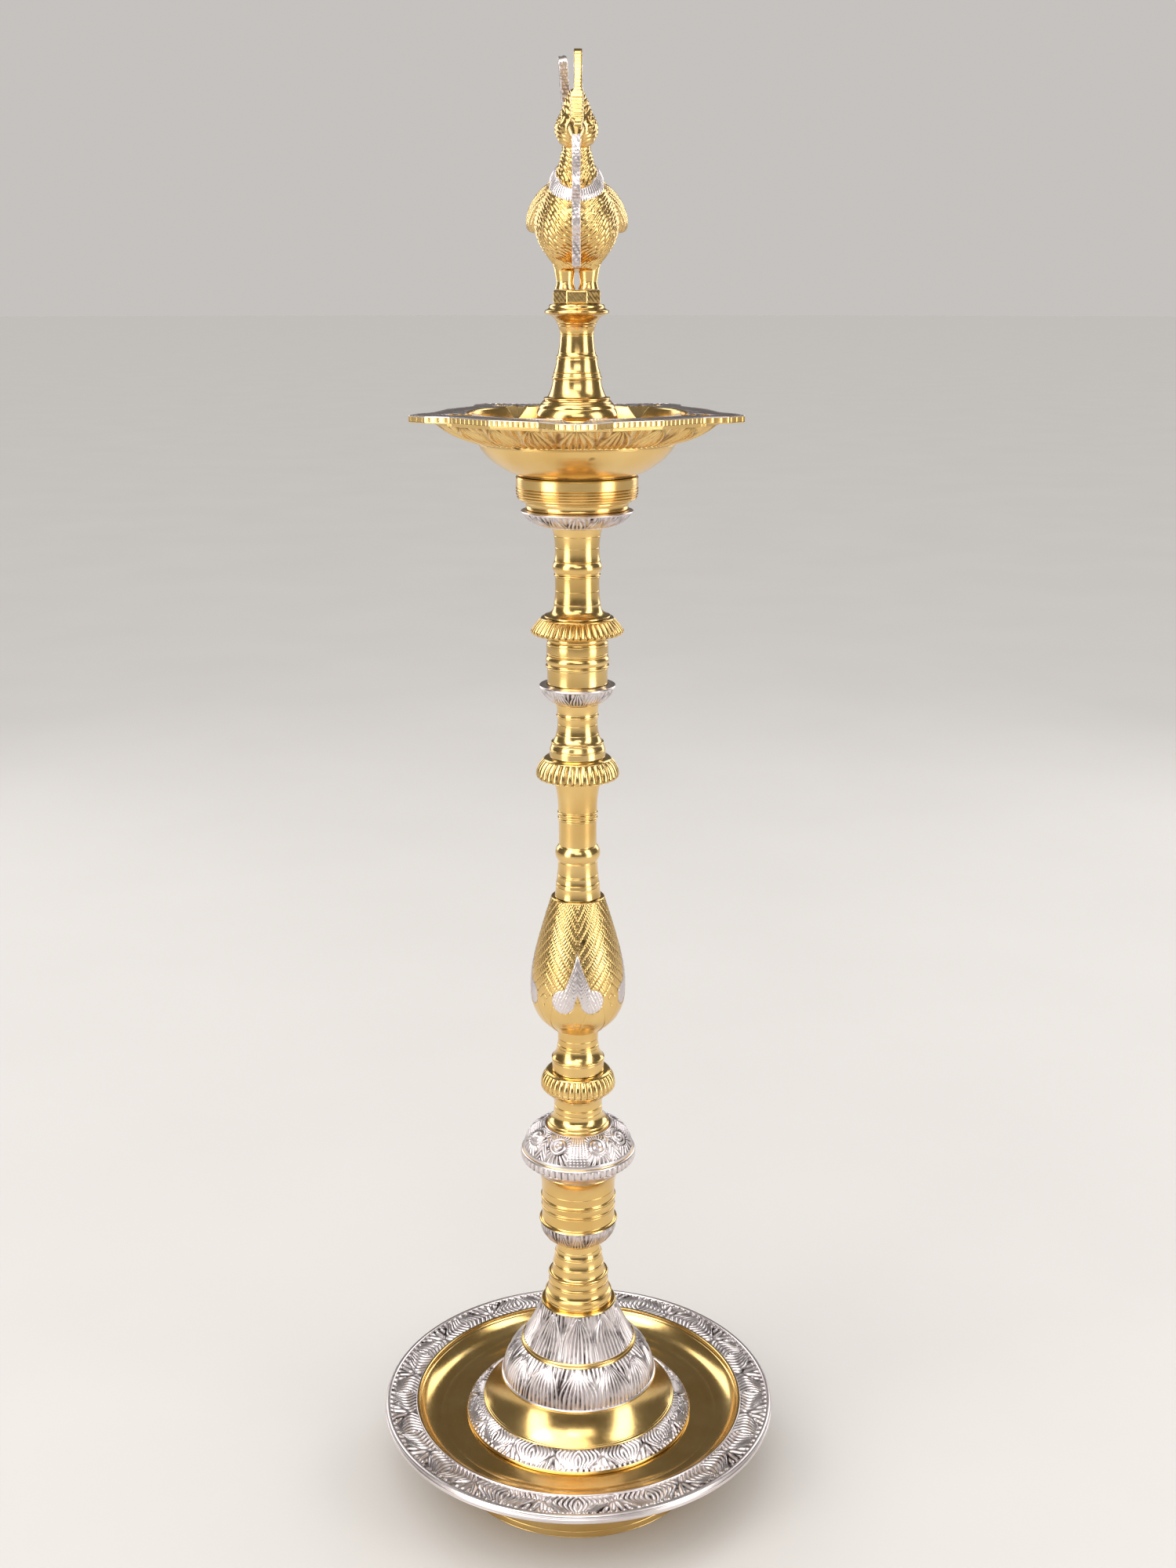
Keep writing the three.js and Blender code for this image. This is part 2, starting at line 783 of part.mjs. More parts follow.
// Each row stands on the one before it: name, geometry, material, height to the next row.
const stack = [
  ["lower_cup", lowerCup(), brass, CUP_TOP],
  ["scroll_collar", scrollCollar(), silvered, SCROLL_COLLAR_HEIGHT],
  ["waist_spool", waistSpool(), brass, 22.4],
  ["lower_ribbed_collar", lowerRibbedCollar(), brass, 17.6],
  ["lower_neck", lowerNeck(), brass, 28.9],
  ["engraved_bulb", bulb(), castBrass, BULB_HEIGHT],
  ["bulb_neck", bulbNeck(), brass, BULB_NECK_HEIGHT],
  ["middle_ribbed_collar", middleRibbedCollar(), brass, MIDDLE_COLLAR_HEIGHT],
  ["middle_spool", middleSpool(), brass, 33.4],
  ["middle_petal_collar", middlePetalCollar(), silvered, 12.2],
  ["middle_drum", middleDrum(), brass, 30.2],
  ["upper_ribbed_disc", upperRibbedDisc(), brass, 10.4],
  ["upper_spool", upperSpool(), brass, 54],
  ["pan_petal_collar", panPetalCollar(), silvered, PETAL_COLLAR_HEIGHT],
  ["pan_seat_ring", panSeatRing(), brass, SEAT_HEIGHT],
  ["oil_pan", oilPan(), castBrass, PAN_FLOOR],
  ["pan_cone", panCone(), brass, CONE_HEIGHT],
  ["finial_flange", finialFlange(), brass, FLANGE_HEIGHT],
  ["finial_plinth", finialPlinth(), castBrass, PLINTH.height],
];
let z = NECK_TOP_Z + GAP;
for (const [name, geometry, material, height] of stack) {
  put(name, geometry, material, z);
  z += height + GAP;
}
const birdZ = z;
const plinthZ = birdZ - GAP - PLINTH.height;
const studLow = plinthZ - FLANGE_HEIGHT - 2 * GAP - FINIAL_THREAD;
put("finial_stud", finialStud(), steel, (studLow + plinthZ + PLINTH.bore - GAP) / 2);

const bird = new THREE.Group();
bird.position.z = birdZ;
const birdMaterials = { beak_garland: silvered, neck_band: silvered };
for (const [name, piece] of Object.entries(birdPieces())) {
  put(name, geometryOf(piece), birdMaterials[name] ?? castBrass, 0, bird);
}
lamp.add(bird);

export default lamp;
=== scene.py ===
"""The looks of a standing oil lamp in brass with silvered relief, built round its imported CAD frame.

Every turned piece is a surface of revolution with its outline in millimetres from the bottom of its
CAD node. Bands of the outline carry relief: petals, ribs, scrolls or engraving, each a height field
over the angle round the lamp and the way along the band. The bird's pieces are simple shapes melted
together and chased.
"""

import json
import math

import bmesh
import bpy
import numpy as np
from mathutils import Matrix, Vector
from mathutils.bvhtree import BVHTree

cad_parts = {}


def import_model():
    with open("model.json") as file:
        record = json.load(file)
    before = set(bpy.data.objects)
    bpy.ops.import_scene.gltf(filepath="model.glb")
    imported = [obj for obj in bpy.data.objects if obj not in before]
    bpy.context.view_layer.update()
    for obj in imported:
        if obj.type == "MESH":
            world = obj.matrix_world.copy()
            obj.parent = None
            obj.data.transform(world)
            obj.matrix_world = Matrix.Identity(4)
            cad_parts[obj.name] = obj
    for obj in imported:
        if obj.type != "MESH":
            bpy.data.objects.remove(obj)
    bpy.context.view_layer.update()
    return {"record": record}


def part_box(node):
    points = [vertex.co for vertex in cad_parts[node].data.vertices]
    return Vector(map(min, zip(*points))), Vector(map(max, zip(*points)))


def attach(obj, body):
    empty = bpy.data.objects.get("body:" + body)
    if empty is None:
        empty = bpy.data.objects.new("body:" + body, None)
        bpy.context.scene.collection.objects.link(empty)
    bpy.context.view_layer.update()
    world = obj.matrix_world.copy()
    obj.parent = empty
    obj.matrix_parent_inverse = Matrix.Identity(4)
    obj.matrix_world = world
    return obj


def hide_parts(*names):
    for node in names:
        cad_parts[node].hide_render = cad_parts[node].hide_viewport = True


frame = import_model()

MM = 0.001
TURN = 2 * math.pi
FRONT = -math.pi / 2  # the angle round the lamp that faces the viewer

# ---- Camera: the viewpoint that the lamp is seen from ----
CAMERA_DISTANCE = 1.0788
CAMERA_HEIGHT = 0.783
CAMERA_PITCH = math.radians(15.387)
CAMERA_SIDE = 0.0065  # the lamp stands a little left of the middle
LENS = 41.15


# ---- relief ----
def wave(x):
    """A smooth ridge of height 1 at every whole number, and 0 halfway."""
    return 0.5 + 0.5 * np.cos(TURN * x)


def smooth(x, low, high):
    """0 below low, 1 above high, and a smooth step between."""
    t = np.clip((x - low) / (high - low), 0, 1)
    return t * t * (3 - 2 * t)


def unit(theta, count, shift=0.0):
    """-1 to 1 across each of count equal sectors, the first of them centred on the front."""
    return np.mod((theta - FRONT) * count / TURN + 0.5 + shift, 1.0) * 2 - 1


def ripple(theta, t):
    """A slow wobble, so that repeated leaves look hand-chased."""
    return (
        0.5 * np.sin(7 * theta + 3 * t + 1.0)
        + 0.3 * np.sin(19 * theta - 5 * t + 2.0)
        + 0.2 * np.sin(43 * theta + 9 * t)
    )


def leaves(count, lines, pointed=2.2):
    """Pointed leaves side by side, each lined inside its edge, with a second row behind them."""

    def height(theta, t):
        u = unit(theta, count) + 0.05 * ripple(theta, t)
        half = np.clip(1.04 - t**pointed, 0.03, 1)
        q = np.abs(u) / half
        front = wave(lines * q**0.9) * (1 - 0.25 * q)
        v = 1 - np.abs(u)
        behind = 0.7 * wave(lines * 0.8 * (v + 0.25 * (1 - t)))
        edge = 1 - smooth(np.abs(q - 1), 0, 0.12)
        return np.clip(np.where(q < 1, front, behind) * (1 - 0.8 * edge) + 0.1, 0, 1)

    return height


def flames(count, lines, curl=0.5):
    """Fans of S-shaped strokes that spread from a bundle at the band's start, in count groups."""

    def height(theta, t):
        u = unit(theta, count) + 0.03 * ripple(theta, t)
        a = np.abs(u)
        spread = 0.48 + 0.52 * smooth(t, 0.05, 0.8)
        q = a / spread - curl * (np.sin(math.pi * t * 1.1) - 0.4) / lines
        fan = wave(lines * q) ** 0.7 * (1 - 0.25 * smooth(t, 0.88, 1.0))
        between = wave(lines * 0.85 * (1 - a) + 1.1 * t) ** 0.7
        split = smooth(np.abs(a / spread - 1), 0.0, 0.10)
        ridge = np.where(a < spread, fan, between) * split
        fringe = wave(theta * count * round(lines * 1.6) / TURN)
        low = 1 - smooth(t, 0.09, 0.14)
        return np.clip(ridge * (1 - low) + fringe * low, 0, 1)

    return height


def ribs(count, power=0.5):
    """Rounded ribs with sharp grooves between."""
    return lambda theta, t: np.abs(np.cos((theta - FRONT) * count / 2)) ** power


SCROLL_ARC = 23.5  # half of one side of the scrolled band, in mm
SCROLL_WAY = 21.0  # the way up the scrolled band, in mm


def scrolls(theta, t):
    """Four pairs of spirals that mirror each other, with strokes below and leaves between pairs."""
    u = unit(theta, 4) + 0.01 * ripple(theta, t)
    a = np.abs(u)
    x, y = (a - 0.56) * SCROLL_ARC, (t - 0.60) * SCROLL_WAY
    r = np.hypot(x, y)
    spiral = wave(r / 2.9 - np.arctan2(y, x) / TURN) ** 0.6 * (1 - 0.5 * smooth(r, 5.8, 6.4))
    strokes = wave(np.arctan2(y, x) * 26 / TURN) ** 0.8 * smooth(r, 6.4, 7.2)
    net = 0.55 + 0.45 * wave(a * SCROLL_ARC / 1.9) * wave(t * SCROLL_WAY / 1.7)
    leaf = wave((a - 0.5 * t) * SCROLL_ARC / 2.1) ** 0.8
    shape = np.where(r < 6.6, spiral, strokes)
    shape = np.where((a < 0.24) & (r > 6.6), net, shape)
    edge = 1 - smooth(np.abs(a - (0.80 + 0.13 * t)), 0.0, 0.035)
    shape = np.where(a > 0.80 + 0.13 * t, leaf, shape)
    return np.clip(shape * (1 - edge), 0, 1)


def thread(pitch=2.0, length=10.0):
    """A screw thread: a ridge that climbs one pitch each turn."""

    def height(theta, t):
        climb = t * length / pitch - theta / TURN
        return np.abs(np.mod(climb, 1.0) * 2 - 1)

    return height


def plain(theta, t):
    """No relief."""
    return np.ones(np.broadcast(theta, t).shape)


BULB_WAY = 93.6  # the way up the bulb's relief, in mm
BULB_ARC = 23.7  # half of one of the bulb's four sides, in mm


def feathered(theta, t):
    """The bulb's chasing: four plumes of herringbone bands over smooth petals."""
    u = unit(theta, 4)
    a = np.abs(u)
    rise = t * 12.6 - 3.6 * a**0.85 + 0.08 * ripple(theta, t)
    band = np.mod(rise, 1.0)
    border = smooth(np.abs(band - 0.5), 0.40, 0.5)
    barb = wave(a * BULB_ARC / 1.35 + 2.4 * band)
    grain = wave(37 * a + 31 * t) * wave(47 * t - 13 * a)
    chased = 0.58 + 0.20 * barb + 0.16 * grain - 0.5 * border
    spine = 1 - smooth(a, 0.0, 0.035)
    chased = np.maximum(chased, 0.8 * spine)
    petal = np.abs(unit(theta, 8, 0.5)) - np.sqrt(np.clip((0.34 - t) / 0.34, 0, 1))
    low = 0.95 - 0.5 * (1 - smooth(np.abs(petal), 0.0, 0.045))
    start = 0.27 + 0.10 * np.abs(np.sin(TURN * u))
    return np.clip(np.where(t > start, chased, low), 0, 1)


def bulb_crest(theta, t):
    """How silvered the bulb is: a tall peak over two rounded lobes, on each of the four sides."""
    x = np.abs(unit(theta, 4) * BULB_ARC)
    y = t * BULB_WAY
    lobes = 1 - smooth(np.hypot(x - 9.4, (y - 31) * 0.95), 7.2, 7.8)
    share = np.clip((y - 31.5) / 32, 0, 1)
    peak = smooth(11.5 * (1 - share) ** 1.15 + 0.4 - x, 0.0, 0.7) * smooth(y, 29.5, 30.1)
    peak = peak * smooth(x - 0.35 * (35 - y), 0.0, 0.7) * (y < 64)
    return np.clip(np.maximum(peak, lobes), 0, 1)


def bulb_relief(theta, t):
    """The chasing, with the silvered crests standing proud of it inside a sunk outline."""
    crest = bulb_crest(theta, t)
    outline = 4 * crest * (1 - crest)
    x = np.abs(unit(theta, 4)) * BULB_ARC
    y = t * BULB_WAY
    strokes = wave(x / 2.1 + 0.2 * y) ** 0.6
    dabs = wave(y / 2.6 + 1.1 * np.sin(x / 1.4)) ** 0.6
    veins = 0.55 + 0.40 * strokes * dabs
    return np.clip(feathered(theta, t) * (1 - crest) + veins * crest - 0.5 * outline, 0, 1)


class Band:
    """A stretch of an outline that carries relief.

    height(theta, t) is the relief, 0 to 1, and depth how far its lowest places lie below the
    outline. silver is the silvering, 0 to 1 or a function of theta and t. step is the distance
    between the mesh's rows. Lengths are in mm.
    """

    def __init__(self, height=plain, depth=0.0, silver=0.0, step=0.7):
        self.height = height
        self.depth = depth
        self.silver = silver
        self.step = step

    def silvering(self, theta, t):
        return self.silver(theta, t) if callable(self.silver) else self.silver


BARE = Band(step=1.6)
SILVER = Band(silver=1.0, step=1.6)


# ---- turned pieces ----
class Curve:
    """Part of an outline: a smooth curve from the entry before it through more (r, z) points."""

    def __init__(self, points, band=BARE):
        self.points = points
        self.band = band

    def __getitem__(self, index):
        return self.points[-1][index]

    def at(self, start, t):
        """Catmull-Rom through start and the points, and the direction there."""
        knots = np.array([start[:2], *self.points], dtype=float)
        knots = np.vstack([2 * knots[0] - knots[1], knots, 2 * knots[-1] - knots[-2]])
        along = np.cumsum(np.hypot(*np.diff(knots[1:-1], axis=0).T))
        along = np.concatenate([[0], along]) / along[-1]
        k = min(int(np.searchsorted(along, t, side="right")) - 1, len(along) - 2)
        u = (t - along[k]) / (along[k + 1] - along[k])
        place, way = catmull_rom(knots[k : k + 4], u)
        return place, way / np.hypot(*way)

    def length(self, start):
        """The length of the straight lines between the points."""
        knots = np.array([start[:2], *self.points], dtype=float)
        return float(np.sum(np.hypot(*np.diff(knots, axis=0).T)))


def catmull_rom(knots, u):
    """The place between the middle two of four points, and the direction there."""
    p0, p1, p2, p3 = knots
    a, b, c = 2 * p0 - 5 * p1 + 4 * p2 - p3, 3 * p1 - p0 - 3 * p2 + p3, p2 - p0
    return 0.5 * (2 * p1 + c * u + a * u**2 + b * u**3), 0.5 * (c + 2 * a * u + 3 * b * u**2)


def row_steps(length, band, fine):
    """Where rows lie on a stretch: evenly, and close to both ends so that corners stay crisp."""
    count = max(1, math.ceil(length / band.step)) if fine else 1
    ease = min(0.2, 0.2 * length) / length
    return sorted({0.0, ease, 1 - ease, 1.0} | {k / count for k in range(1, count)})


def sample(outline, close):
    """Rows along an outline: r, z, the outward normal, the way along the band, and the band.

    An entry is (r, z[, bow[, band]]), where bow and band belong to the way that leads to it, or a
    Curve. A radius may be an array with one value for each step round the axis.
    """
    points = list(outline)
    if close:
        points.append(points[0][:2])
    rows = []
    for previous, entry in zip(points, points[1:]):
        if isinstance(entry, Curve):
            for t in row_steps(entry.length(previous), entry.band, True):
                (r, z), (dr, dz) = entry.at(previous, t)
                rows.append((r, z, (dz, -dr), t, entry.band))
            continue
        (r0, z0), (r1, z1) = (previous[0], previous[1]), (entry[0], entry[1])
        bow = entry[2] if len(entry) > 2 else 0.0
        band = entry[3] if len(entry) > 3 else BARE
        length = np.hypot(r1 - r0, z1 - z0)
        if np.max(length) < 1e-6:
            continue
        nr, nz = (z1 - z0) / length, -(r1 - r0) / length
        for t in row_steps(float(np.max(length)), band, bow or band.depth or band.silver):
            swell = 4 * bow * t * (1 - t)
            tilt = np.arctan(4 * bow * (1 - 2 * t) / length)
            normal = (nr * np.cos(tilt) - nz * np.sin(tilt), nz * np.cos(tilt) + nr * np.sin(tilt))
            place_r = r0 + (r1 - r0) * t + nr * swell
            rows.append((place_r, z0 + (z1 - z0) * t + nz * swell, normal, t, band))
    return rows


def revolve(name, node, outline, sides=128, close=False, carve=None):
    """A piece turned about the lamp's axis. Its outline starts and ends on the axis, or closes.

    carve(theta, r) gives a height in mm that the surface may not rise above.
    """
    z_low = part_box(node)[0][2] / MM
    rows = sample(outline, close)
    theta = np.arange(sides) * TURN / sides
    r = np.empty((len(rows), sides))
    z = np.empty_like(r)
    silver = np.zeros_like(r)
    hollow = np.zeros_like(r)
    for i, (r0, z0, (nr, nz), t, band) in enumerate(rows):
        ways = np.full(sides, t)
        height = band.height(theta, ways) if band.depth else np.ones(sides)
        cut = band.depth * (height - 1)
        r[i] = np.maximum(r0 + nr * cut, 0)
        z[i] = z0 + nz * cut
        silver[i] = band.silvering(theta, ways)
        hollow[i] = 1 - height
        if carve:
            ceiling = carve(theta, r[i])
            silver[i] = np.where(z[i] > ceiling, 0, silver[i])
            hollow[i] = np.where(z[i] > ceiling, 0, hollow[i])
            z[i] = np.minimum(z[i], ceiling)
    return polar_mesh(name, theta, r, z + z_low, silver, hollow, close)


def polar_mesh(name, theta, r, z, silver, hollow, close):
    """A mesh from rows of points round the axis, in mm. Rows on the axis become one point."""
    rows, sides = r.shape
    if close:
        r, z, silver, hollow = (a[:-1] for a in (r, z, silver, hollow))
        rows -= 1
    points = np.stack([r * np.cos(theta), r * np.sin(theta), z], axis=-1).reshape(-1, 3) * MM
    strips = np.arange(rows if close else rows - 1)[:, None]
    around = np.arange(sides)[None, :]
    first = strips * sides + around
    second = (strips + 1) % rows * sides + around
    corners = [first, np.roll(first, -1, axis=1), np.roll(second, -1, axis=1), second]
    faces = np.stack(corners, axis=-1).reshape(-1, 4).tolist()
    if not close:
        faces = pinch_poles(faces, rows, sides)
    return add_mesh(name, points, faces, silver, hollow)


def pinch_poles(faces, rows, sides):
    """Joins the first and the last row, which lie on the axis, into one point each."""
    south, north = 0, (rows - 1) * sides
    trimmed = []
    for face in faces:
        face = [south if v < sides else north if v >= north else v for v in face]
        kept = [v for k, v in enumerate(face) if v != face[k - 1]]
        if len(kept) > 2:
            trimmed.append(kept)
    return trimmed


def add_mesh(name, points, faces, silver, hollow):
    """An object from points in metres, without those that no face uses."""
    mesh = bpy.data.meshes.new(name)
    used = np.unique(np.fromiter((v for f in faces for v in f), dtype=np.int64))
    renumber = np.zeros(len(points), dtype=np.int64)
    renumber[used] = np.arange(len(used))
    mesh.from_pydata(
        np.asarray(points)[used].tolist(), [], [[int(renumber[v]) for v in f] for f in faces]
    )
    for label, values in (("silver", silver), ("hollow", hollow)):
        layer = mesh.attributes.new(label, "FLOAT", "POINT")
        data = np.asarray(values).reshape(-1)[used]
        layer.data.foreach_set("value", data.astype(np.float32))
    mesh.shade_smooth()
    obj = bpy.data.objects.new(name, mesh)
    bpy.context.scene.collection.objects.link(obj)
    return obj


def stand_for(obj, node, slot):
    """obj takes a CAD node's place, on that node's body, with the finish of a material slot."""
    obj.data.materials.append(MATERIALS["steel" if slot == "steel" else "brass"])
    for body, nodes in frame["record"]["behaviour"]["bodies"].items():
        if node in nodes:
            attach(obj, body)
    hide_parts(node)


def turned(node, outline, slot="polished_brass", **options):
    """A turned piece in a CAD node's place."""
    stand_for(revolve(node + "_look", node, outline, **options), node, slot)


# ---- materials ----
def new_material(name):
    """An empty material, and add(kind, inputs={...}, setting=...), which makes a node in it."""
    material = bpy.data.materials.new(name)
    material.use_nodes = True
    tree = material.node_tree
    tree.nodes.clear()

    def add(kind, **settings):
        made = tree.nodes.new(kind)
        inputs = settings.pop("inputs", {})
        for key, value in settings.items():
            setattr(made, key, value)
        for key, value in inputs.items():
            if isinstance(value, bpy.types.NodeSocket):
                tree.links.new(value, made.inputs[key])
            else:
                made.inputs[key].default_value = value
        return made

    return material, add


def ramp(add, source, low, high, to_low=0.0, to_high=1.0):
    """source mapped so that low becomes to_low and high becomes to_high."""
    names = ("Value", "From Min", "From Max", "To Min", "To Max")
    values = (source, low, high, to_low, to_high)
    return add("ShaderNodeMapRange", inputs=dict(zip(names, values))).outputs["Result"]


def mix_color(add, factor, a, b):
    return add("ShaderNodeMix", data_type="RGBA", inputs={0: factor, 6: a, 7: b}).outputs[2]


def reckon(add, operation, a, b):
    return add("ShaderNodeMath", operation=operation, inputs={0: a, 1: b}).outputs[0]


def noise(add, vector, scale, detail=3.0):
    inputs = {"Vector": vector, "Scale": scale, "Detail": detail, "Roughness": 0.55}
    return add("ShaderNodeTexNoise", inputs=inputs).outputs["Fac"]


def bump(add, height, strength, distance, normal=None):
    """The normal that a height gives, laid over another normal."""
    inputs = {"Height": height, "Strength": strength, "Distance": distance}
    if normal:
        inputs["Normal"] = normal
    return add("ShaderNodeBump", inputs=inputs).outputs[0]


GOLD = (0.85, 0.605, 0.25, 1)
GOLD_DEEP = (0.75, 0.49, 0.17, 1)
SILVER_PALE = (0.85, 0.79, 0.78, 1)
SILVER_DEEP = (0.72, 0.65, 0.65, 1)
SILVER_PATINA = (0.035, 0.022, 0.020, 1)
GOLD_PATINA = (0.22, 0.085, 0.014, 1)
TARNISH = (0.09, 0.045, 0.015, 1)
SHINE = 0.18  # the roughness of plain polished brass


def brass():
    """Brass that is silvered where the mesh says so, dark in its hollows, with fine lathe lines."""
    material, add = new_material("brass")
    place = add("ShaderNodeTexCoord").outputs["Object"]
    silver = add("ShaderNodeAttribute", attribute_name="silver").outputs["Fac"]
    hollow = add("ShaderNodeAttribute", attribute_name="hollow").outputs["Fac"]
    cloud = noise(add, place, 26)
    grain = noise(add, place, 420, 4)
    patches = noise(add, place, 75, 3)

    toning = ramp(add, cloud, 0.35, 0.65)
    gold_mix = mix_color(add, toning, GOLD, GOLD_DEEP)
    silver_mix = mix_color(add, toning, SILVER_PALE, SILVER_DEEP)
    base = mix_color(add, silver, gold_mix, silver_mix)
    # Recesses hold a patina, brown on brass and black on silver, more of it in some places.
    patchy = ramp(add, patches, 0.46, 0.60, 0.22, 1.0)
    stain = reckon(add, "MULTIPLY", ramp(add, hollow, 0.30, 0.85), patchy)
    silver_stain = reckon(add, "MULTIPLY", stain, silver)
    base = mix_color(add, silver_stain, base, SILVER_PATINA)
    gold_stain = reckon(add, "SUBTRACT", stain, silver_stain)
    base = mix_color(add, reckon(add, "MULTIPLY", gold_stain, 0.80), base, GOLD_PATINA)
    # A few tarnish spots on the plain metal.
    cells = add("ShaderNodeTexVoronoi", feature="F1", inputs={"Vector": place, "Scale": 46})
    rare = ramp(add, noise(add, place, 31, 1), 0.60, 0.66)
    spot = reckon(add, "MULTIPLY", ramp(add, cells.outputs["Distance"], 0.13, 0.05), rare)
    base = mix_color(add, spot, base, TARNISH)

    rough = ramp(add, grain, 0.3, 0.7, SHINE, SHINE + 0.05)
    rough = reckon(add, "ADD", rough, reckon(add, "MULTIPLY", silver, 0.10))
    rough = reckon(add, "ADD", rough, reckon(add, "MULTIPLY", stain, 0.30))

    # Lathe lines: noise that changes quickly with height and hardly round the axis.
    stretch = add("ShaderNodeMapping", inputs={"Vector": place, "Scale": (6, 6, 900)}).outputs[0]
    normal = bump(add, noise(add, stretch, 1.0, 2), 0.035, 0.0006)
    normal = bump(add, noise(add, place, 60, 2), 0.07, 0.0012, normal)
    normal = bump(add, grain, 0.02, 0.0003, normal)
    shader = add(
        "ShaderNodeBsdfPrincipled",
        inputs={"Base Color": base, "Metallic": 1.0, "Roughness": rough, "Normal": normal},
    )
    add("ShaderNodeOutputMaterial", inputs={"Surface": shader.outputs[0]})
    return material


def steel():
    """Plain steel, a little mottled, for the fasteners."""
    material, add = new_material("bolt_steel")
    cloud = noise(add, add("ShaderNodeTexCoord").outputs["Object"], 120, 4)
    toning = ramp(add, cloud, 0.35, 0.65)
    shader = add(
        "ShaderNodeBsdfPrincipled",
        inputs={
            "Base Color": mix_color(add, toning, (0.42, 0.42, 0.41, 1), (0.28, 0.27, 0.25, 1)),
            "Metallic": 1.0,
            "Roughness": ramp(add, cloud, 0.3, 0.7, 0.28, 0.45),
            "Normal": bump(add, cloud, 0.15, 0.0004),
        },
    )
    add("ShaderNodeOutputMaterial", inputs={"Surface": shader.outputs[0]})
    return material


MATERIALS = {"brass": brass(), "steel": steel()}


# ---- base ----
TRAY_FLOOR = 7.2
BOLT_HOLE_R = 5.4

turned(
    "foot_ring",
    [
        (80.3, 0),
        (83.6, 0),
        (84, 0.5, 0.1),
        (83.2, 4),
        (84.8, 33.4, -1.4),
        (84.4, 34, 0.1),
        (80, 34),
        (80, 0.4),
    ],
    sides=240,
    close=True,
)

turned(
    "base_tray",
    [
        (79.5, 0),
        (85.6, 0),
        (86.2, 0.6, 0.2),
        (90, 2.9, -0.8),
        (126.2, 12.1, 1.5),
        (131.0, 12.9, 0, SILVER),
        (132.1, 14.1, 0.3, SILVER),
        (132.1, 16.1, 0.2, SILVER),
        (131.5, 16.7, -0.2, SILVER),
        (131.9, 17.5, 0.3, SILVER),
        (131.0, 18.8, 0.3, SILVER),
        (129.6, 19.1, 0.1, SILVER),
        (128.8, 18.6, 0, SILVER),
        (111.2, 18.0, 0.2, Band(flames(16, 6.5, 1.1), 1.35, 1.0, 0.7)),
        (110.6, 18.5, 0.2, SILVER),
        (109.2, 18.0, 0.3),
        (107.9, 15.3, -0.6),
        (94.0, 7.5, -2.2),
        (88, 6.7, -0.3),
        (79, TRAY_FLOOR, 0),
        (BOLT_HOLE_R, TRAY_FLOOR),
        (BOLT_HOLE_R, TRAY_FLOOR - 3.5),
        (76, TRAY_FLOOR - 3.8),
        (78.9, TRAY_FLOOR - 4.0, 0),
    ],
    sides=1248,
    close=True,
)

turned(
    "base_pedestal",
    [
        (73, 0),
        (76.4, 0),
        (76.6, 1.4, 0.1),
        (76.0, 2.2, 0.1),
        (65.2, 10.9, 1.0, Band(flames(14, 5.5, 1.1), 1.3, 1.0, 0.5)),
        (64.6, 11.8, 0.2),
        (63.6, 12.6, -0.1),
        (52.6, 29.2, -1.4),
        (52.4, 30.3, 0.3),
        (51.5, 31.0, 0.1, SILVER),
        (39.0, 53.4, 3.0, Band(leaves(12, 4.2, 2.6), 1.5, 1.0, 0.6)),
        (38.2, 54.4, -0.1),
        (38.4, 55.6, 0.4),
        (37.4, 56.4, 0.1),
        (25.2, 83.6, -0.9, Band(leaves(9, 4.0, 3.4), 1.35, 1.0, 0.6)),
        (24.4, 84.7, 0.1),
        (22.7, 84.7),
        (22.7, 79.5),
        (BOLT_HOLE_R, 79.5),
        (BOLT_HOLE_R, 76),
        (21.2, 75, 0),
        (33.5, 54),
        (47, 31),
        (60, 10),
    ],
    slot="silvered_brass",
    sides=600,
    close=True,
)

STUD_R = 8.0  # the threaded studs that join the stem's sections
BORE_R = 8.4  # the sockets that take them


def groove(r, z, deep=0.35, wide=0.5):
    """A turned line cut into a wall that leads up."""
    return [(r, z), (r - deep, z + wide / 2), (r, z + wide)]


def bead(r, z, proud=0.8, high=1.4):
    """A raised round moulding on a wall that leads up."""
    return [(r, z), (r, z + high, proud)]


def stem_section(node, outline, socket=10.5, stud=10.0, socket_r=BORE_R, **options):
    """A turned section of the stem: a socket below, its outline, and a threaded stud on top."""
    top = outline[-1][1]
    whole = [
        (0, socket),
        (socket_r, socket),
        (socket_r, 0),
        *outline,
        (STUD_R, top),
        (STUD_R, top + stud - 0.7, 0, Band(thread(length=stud - 0.7), 0.7, step=0.4)),
        (STUD_R - 0.8, top + stud),
        (0, top + stud),
    ]
    turned(node, whole, **options)


stem_section(
    "pedestal_neck",
    [
        (22.3, 0),
        (22.4, 4.6),
        *groove(22.3, 7.4),
        *bead(22.0, 10.4, 0.4, 1.0),
        (21.4, 12.0),
        (20.6, 12.6),
        (19.6, 17.4, -0.3),
        *bead(19.6, 18.2, 0.5, 1.0),
        (19.0, 23.2, -0.2),
        *bead(19.2, 23.8, 0.9, 1.8),
        (17.8, 26.4, -0.3),
        (16.9, 31.6, -0.2),
        *groove(16.9, 32.4, 0.3, 0.5),
        (15.6, 38.6, -0.2),
        *bead(15.5, 39.2, 0.4, 1.2),
        (14.6, 43.6, -0.2),
        (14.2, 48.3, -0.1),
    ],
    socket=20,
    socket_r=BOLT_HOLE_R,
)

